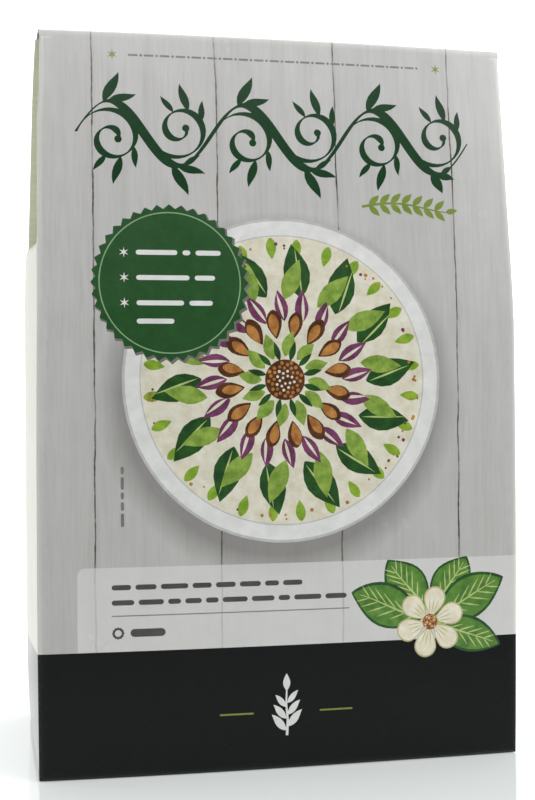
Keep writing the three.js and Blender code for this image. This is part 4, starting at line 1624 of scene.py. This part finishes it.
def bare_board(name):
    material = bpy.data.materials.new(name)
    tree = clear_tree(material)
    place = node(tree, "ShaderNodeTexCoord").outputs["Object"]
    fibres = noise(tree, stretched(tree, place, 900, 900, 2600), 1.0, 6, 0.7)
    specks = noise(tree, place, 1400.0, 2, 0.4)
    colour = blend_colours(tree, spread(tree, fibres, 0.3, 0.7, 0.0, 1.0), BOARD_PALE, BOARD_DARK)
    colour = blend_colours(tree, spread(tree, specks, 0.68, 0.74, 0.0, 0.6), colour, SPECK_BROWN)
    bump = node(tree, "ShaderNodeBump", None, Height=fibres, Strength=0.35, Distance=0.0002)
    rough = spread(tree, specks, 0.2, 0.8, 0.72, 0.9)
    shader = node(tree, "ShaderNodeBsdfPrincipled", None, Base_Color=colour, Roughness=rough,
                  Normal=bump.outputs[0])
    give_surface(tree, shader)
    return material


carton_materials["board"] = bare_board("board")
for name in ink_names:
    carton.data.materials.append(carton_materials[name])
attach(carton, "root")
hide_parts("carton")
print("carton dressed with", len(carton.data.materials), "materials")

# %% [markdown]
# ## Pouch
# Inside stands the pouch that holds the food: two films sealed at the sides and along the top, full and
# lumpy below, flat above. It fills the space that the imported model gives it. Cloth simulation could puff it
# up, but nobody sees it in the closed carton, so a formula does: crowned halves, lumps of food that push
# through, and a crimped seal.

# %% Shape the pouch
pouch_low, pouch_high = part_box("food_pouch")
POUCH_COLUMNS, POUCH_ROWS = 72, 110
SEAL_BAND = 9.0                # height of the crimped seal along the top
SEAL_HALF = 0.45               # half its thickness
CRIMP_PITCH, CRIMP_RELIEF = 1.5, 0.18
FILL_TOP = 122.0
POUCH_SLACK = 1.6              # room between the fullest pouch and its space
MEAN_FILL = 0.84               # share of that fullness without the lumps
CREASE_HEIGHT, CREASE_START = 1.0, 30.0      # the film creases from this far under the fill's top
pouch_half_width = pouch_high.x / MM
pouch_bottom, pouch_top = pouch_low.z / MM, pouch_high.z / MM
pouch_middle = (pouch_low.y + pouch_high.y) / 2 / MM
pouch_full = (pouch_high.y - pouch_low.y) / 2 / MM


def pouch_bulge(x, z):
    """Half the pouch's thickness."""
    across = max(0.0, 1 - abs(x / pouch_half_width) ** 2.6) ** 0.7
    up = (z - pouch_bottom) / (FILL_TOP - pouch_bottom)
    filled = 0.0 if up >= 1 else 1 - up ** 3
    lumps = 0.10 * math.cos(x / 4.0 + 0.8) * math.cos(z / 4.0) + 0.05 * math.sin(x / 2.1 + z / 2.7)
    food = (pouch_full - POUCH_SLACK) * filled * across * (MEAN_FILL + lumps)
    if z > pouch_top - SEAL_BAND:
        return SEAL_HALF + food + CRIMP_RELIEF * abs(math.sin(math.tau * z / CRIMP_PITCH))
    creases = CREASE_HEIGHT * abs(math.sin(x / 3.3)) * share(z, FILL_TOP - CREASE_START, FILL_TOP)
    return SEAL_HALF + food + creases * across


pouch_points, pouch_faces = [], []
for face in (-1, 1):
    for j in range(POUCH_ROWS + 1):
        z = mix(pouch_bottom, pouch_top, j / POUCH_ROWS)
        for i in range(POUCH_COLUMNS + 1):
            x = mix(-pouch_half_width, pouch_half_width, i / POUCH_COLUMNS)
            pouch_points.append((x, pouch_middle + face * min(pouch_full, pouch_bulge(x, z)), z))
row = POUCH_COLUMNS + 1
back_film = row * (POUCH_ROWS + 1)           # the number of its first point
for j in range(POUCH_ROWS):
    for i in range(POUCH_COLUMNS):
        a = j * row + i
        pouch_faces.append((a, a + 1, a + row + 1, a + row))
        pouch_faces.append(tuple(back_film + k for k in (a, a + row, a + row + 1, a + 1)))
film_border = list(range(row))
film_border += [j * row + row - 1 for j in range(1, POUCH_ROWS + 1)]
film_border += [POUCH_ROWS * row + i for i in range(row - 2, -1, -1)]
film_border += [j * row for j in range(POUCH_ROWS - 1, 0, -1)]
for a, b in zip(film_border, film_border[1:] + film_border[:1]):
    pouch_faces.append((b, a, back_film + a, back_film + b))
pouch = make_piece("inner_pouch", pouch_points, pouch_faces)
print("inner_pouch:", len(pouch_faces), "faces")

# %% [markdown]
# ## Pouch film
# The film is milky and glossy polyethylene. A glass shader would be slow inside a closed box, so it is an
# opaque, glossy white with a cool drift and fine wrinkles.

# %% Film material
FILM_WHITE, FILM_COOL = paint(226, 229, 230), paint(204, 210, 210)


def pouch_film(name):
    material = bpy.data.materials.new(name)
    tree = clear_tree(material)
    place = node(tree, "ShaderNodeTexCoord").outputs["Object"]
    drift = noise(tree, place, 45.0, 3)
    wrinkles = noise(tree, stretched(tree, place, 260, 260, 90), 1.0, 4, 0.6)
    colour = blend_colours(tree, drift, FILM_WHITE, FILM_COOL)
    bump = node(tree, "ShaderNodeBump", None, Height=wrinkles, Strength=0.5, Distance=0.0006)
    rough = spread(tree, drift, 0.3, 0.7, 0.22, 0.36)
    shader = node(tree, "ShaderNodeBsdfPrincipled", None, Base_Color=colour, Roughness=rough,
                  Normal=bump.outputs[0])
    give_surface(tree, shader)
    return material


pouch.data.materials.append(pouch_film("pouch_film"))
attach(pouch, "root")
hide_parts("food_pouch")
print("pouch dressed with", len(pouch.data.materials), "material")

# %% [markdown]
# ## Background and room light
# A packshot has a bright white wall behind and a dim room in front: the wall gives the glossy board its pale
# edges, and the dim side keeps the print's blacks black. Large lamps could do the same, but a world whose
# strength depends on direction is smoother. What the camera itself sees of it is white on every side.

# %% Light the room
WALL_LIGHT, ROOM_LIGHT = 0.97, 0.12
ROOM_END, WALL_START = -0.15, 0.45     # between these directions, -1 in front to 1 behind, it changes
CAMERA_WHITE = 1.1             # added where the camera looks, which makes it whiter than white
PURE_WHITE = (1, 1, 1, 1)


def white_room():
    world = bpy.data.worlds.new("white_room")
    tree = clear_tree(world)
    direction = node(tree, "ShaderNodeTexCoord").outputs["Generated"]
    towards_wall = node(tree, "ShaderNodeSeparateXYZ", None, Vector=direction).outputs[1]
    given = spread(tree, towards_wall, ROOM_END, WALL_START, ROOM_LIGHT, WALL_LIGHT)
    camera_ray = node(tree, "ShaderNodeLightPath").outputs["Is Camera Ray"]
    seen = sums(tree, "MULTIPLY_ADD", camera_ray, CAMERA_WHITE, given)
    light = node(tree, "ShaderNodeBackground", None, Color=PURE_WHITE, Strength=seen)
    give_surface(tree, light, "ShaderNodeOutputWorld")
    bpy.context.scene.world = world


white_room()
bpy.context.scene.view_settings.view_transform = "Standard"
print("room light", ROOM_LIGHT, "to", WALL_LIGHT)

# %% [markdown]
# ## Floor
# The carton stands on a sheet of white acrylic, glossy enough to mirror the foot of the carton. A curved
# backdrop would hide the horizon from one side only, so the floor is a disc that fades into the white of
# the room with its distance from the carton. It fades sooner behind it, where the wall is.

# %% Lay the floor
FLOOR_RADIUS = 3.0
FADE_START, FADE_END = 0.075, 0.5      # metres from the middle of the carton
FADE_BEHIND = 1.5              # a metre further back counts this much more
FAR_GLOW_FRONT, FAR_GLOW_BACK = 0.25, 1.0
FAR_GLOW_REACH = 0.15          # metres from the middle, backwards, where the stronger glow is reached
FLOOR_GLOW = 0.32              # the light that comes up through the sheet, seen straight or mirrored
ACRYLIC_ROUGHNESS, ACRYLIC_IOR = 0.06, 2.5
ACRYLIC_WHITE, ACRYLIC_GLOW = paint(200, 205, 204), paint(250, 255, 254)


def white_floor():
    mesh = bpy.data.meshes.new("table_top")
    bm = bmesh.new()
    bmesh.ops.create_circle(bm, cap_ends=True, segments=64, radius=FLOOR_RADIUS)
    bm.to_mesh(mesh)
    bm.free()
    floor = bpy.data.objects.new("table_top", mesh)
    bpy.context.scene.collection.objects.link(floor)
    mesh.materials.append(white_acrylic("white_acrylic"))
    print("floor", 2 * FLOOR_RADIUS, "m across")


def white_acrylic(name):
    """Glossy acrylic near the carton, plain white light far from it."""
    material = bpy.data.materials.new(name)
    tree = clear_tree(material)
    acrylic = node(tree, "ShaderNodeBsdfPrincipled", None, Base_Color=ACRYLIC_WHITE,
                   Roughness=ACRYLIC_ROUGHNESS, IOR=ACRYLIC_IOR, Emission_Color=ACRYLIC_GLOW)
    path = node(tree, "ShaderNodeLightPath").outputs
    camera_ray = path["Is Camera Ray"]
    straight_or_mirrored = sums(tree, "MAXIMUM", camera_ray, path["Is Glossy Ray"])
    put(acrylic.inputs["Emission Strength"], sums(tree, "MULTIPLY", straight_or_mirrored, FLOOR_GLOW))
    place = node(tree, "ShaderNodeTexCoord").outputs["Object"]
    distance = node(tree, "ShaderNodeVectorMath", {"operation": "LENGTH"}, Vector=place).outputs["Value"]
    towards_wall = node(tree, "ShaderNodeSeparateXYZ", None, Vector=place).outputs[1]
    behind = sums(tree, "MAXIMUM", towards_wall, 0.0)
    distance = sums(tree, "MULTIPLY_ADD", behind, FADE_BEHIND, distance)
    fade = node(tree, "ShaderNodeMapRange", {"interpolation_type": "SMOOTHSTEP"}, Value=distance)
    fade.inputs["From Min"].default_value = FADE_START
    fade.inputs["From Max"].default_value = FADE_END
    given = spread(tree, towards_wall, 0.0, FAR_GLOW_REACH, FAR_GLOW_FRONT, FAR_GLOW_BACK)
    seen = sums(tree, "MULTIPLY_ADD", camera_ray, CAMERA_WHITE, given)
    glow = node(tree, "ShaderNodeEmission", None, Color=PURE_WHITE, Strength=seen)
    both = node(tree, "ShaderNodeMixShader", None, Fac=fade.outputs[0])
    tree.links.new(acrylic.outputs[0], both.inputs[1])
    tree.links.new(glow.outputs[0], both.inputs[2])
    give_surface(tree, both)
    return material


white_floor()

# %% [markdown]
# ## Lamps
# A soft sky lamp straight above lights the floor and the roof evenly. A panel high in front lights the
# print, stronger near the ridge than at the foot because the ridge is nearer. A stronger one from the right
# makes the print brighter towards its right-hand fold, and one low on the left lights the left side. One
# lamp alone would leave a side dark. The camera doesn't see them, and the carton does, as soft gloss.

# %% Hang the lamps
def hide_from_camera(lamp, name):
    """Hangs a lamp that gives light and isn't seen."""
    holder = bpy.data.objects.new(name, lamp)
    bpy.context.scene.collection.objects.link(holder)
    holder.visible_camera = False
    return holder


SKY_STRENGTH, SKY_ANGLE = 1.0, math.radians(60)
sky = bpy.data.lights.new("sky_lamp", "SUN")
sky.energy = SKY_STRENGTH
sky.angle = SKY_ANGLE
hide_from_camera(sky, "sky_lamp")
SOFT_PANELS = (            # name, place, what it is turned to, width and height, watts
    ("front_panel", (0.02, -0.70, 0.72), (0.0, 0.0, 0.14), (0.6, 0.4), 2.2),
    ("right_panel", (0.60, -0.60, 0.72), (0.0, 0.0, 0.14), (0.5, 0.5), 5.0),
    ("left_panel", (-0.8, 0.15, 0.35), (0.0, 0.0, 0.08), (0.6, 0.9), 2.0),
)


def soft_panel(name, place, target, size, power):
    lamp = bpy.data.lights.new(name, "AREA")
    lamp.shape = "RECTANGLE"
    lamp.size, lamp.size_y = size
    lamp.energy = power
    holder = hide_from_camera(lamp, name)
    holder.location = place
    holder.rotation_euler = (Vector(target) - Vector(place)).to_track_quat("-Z", "Y").to_euler()


for panel in SOFT_PANELS:
    soft_panel(*panel)
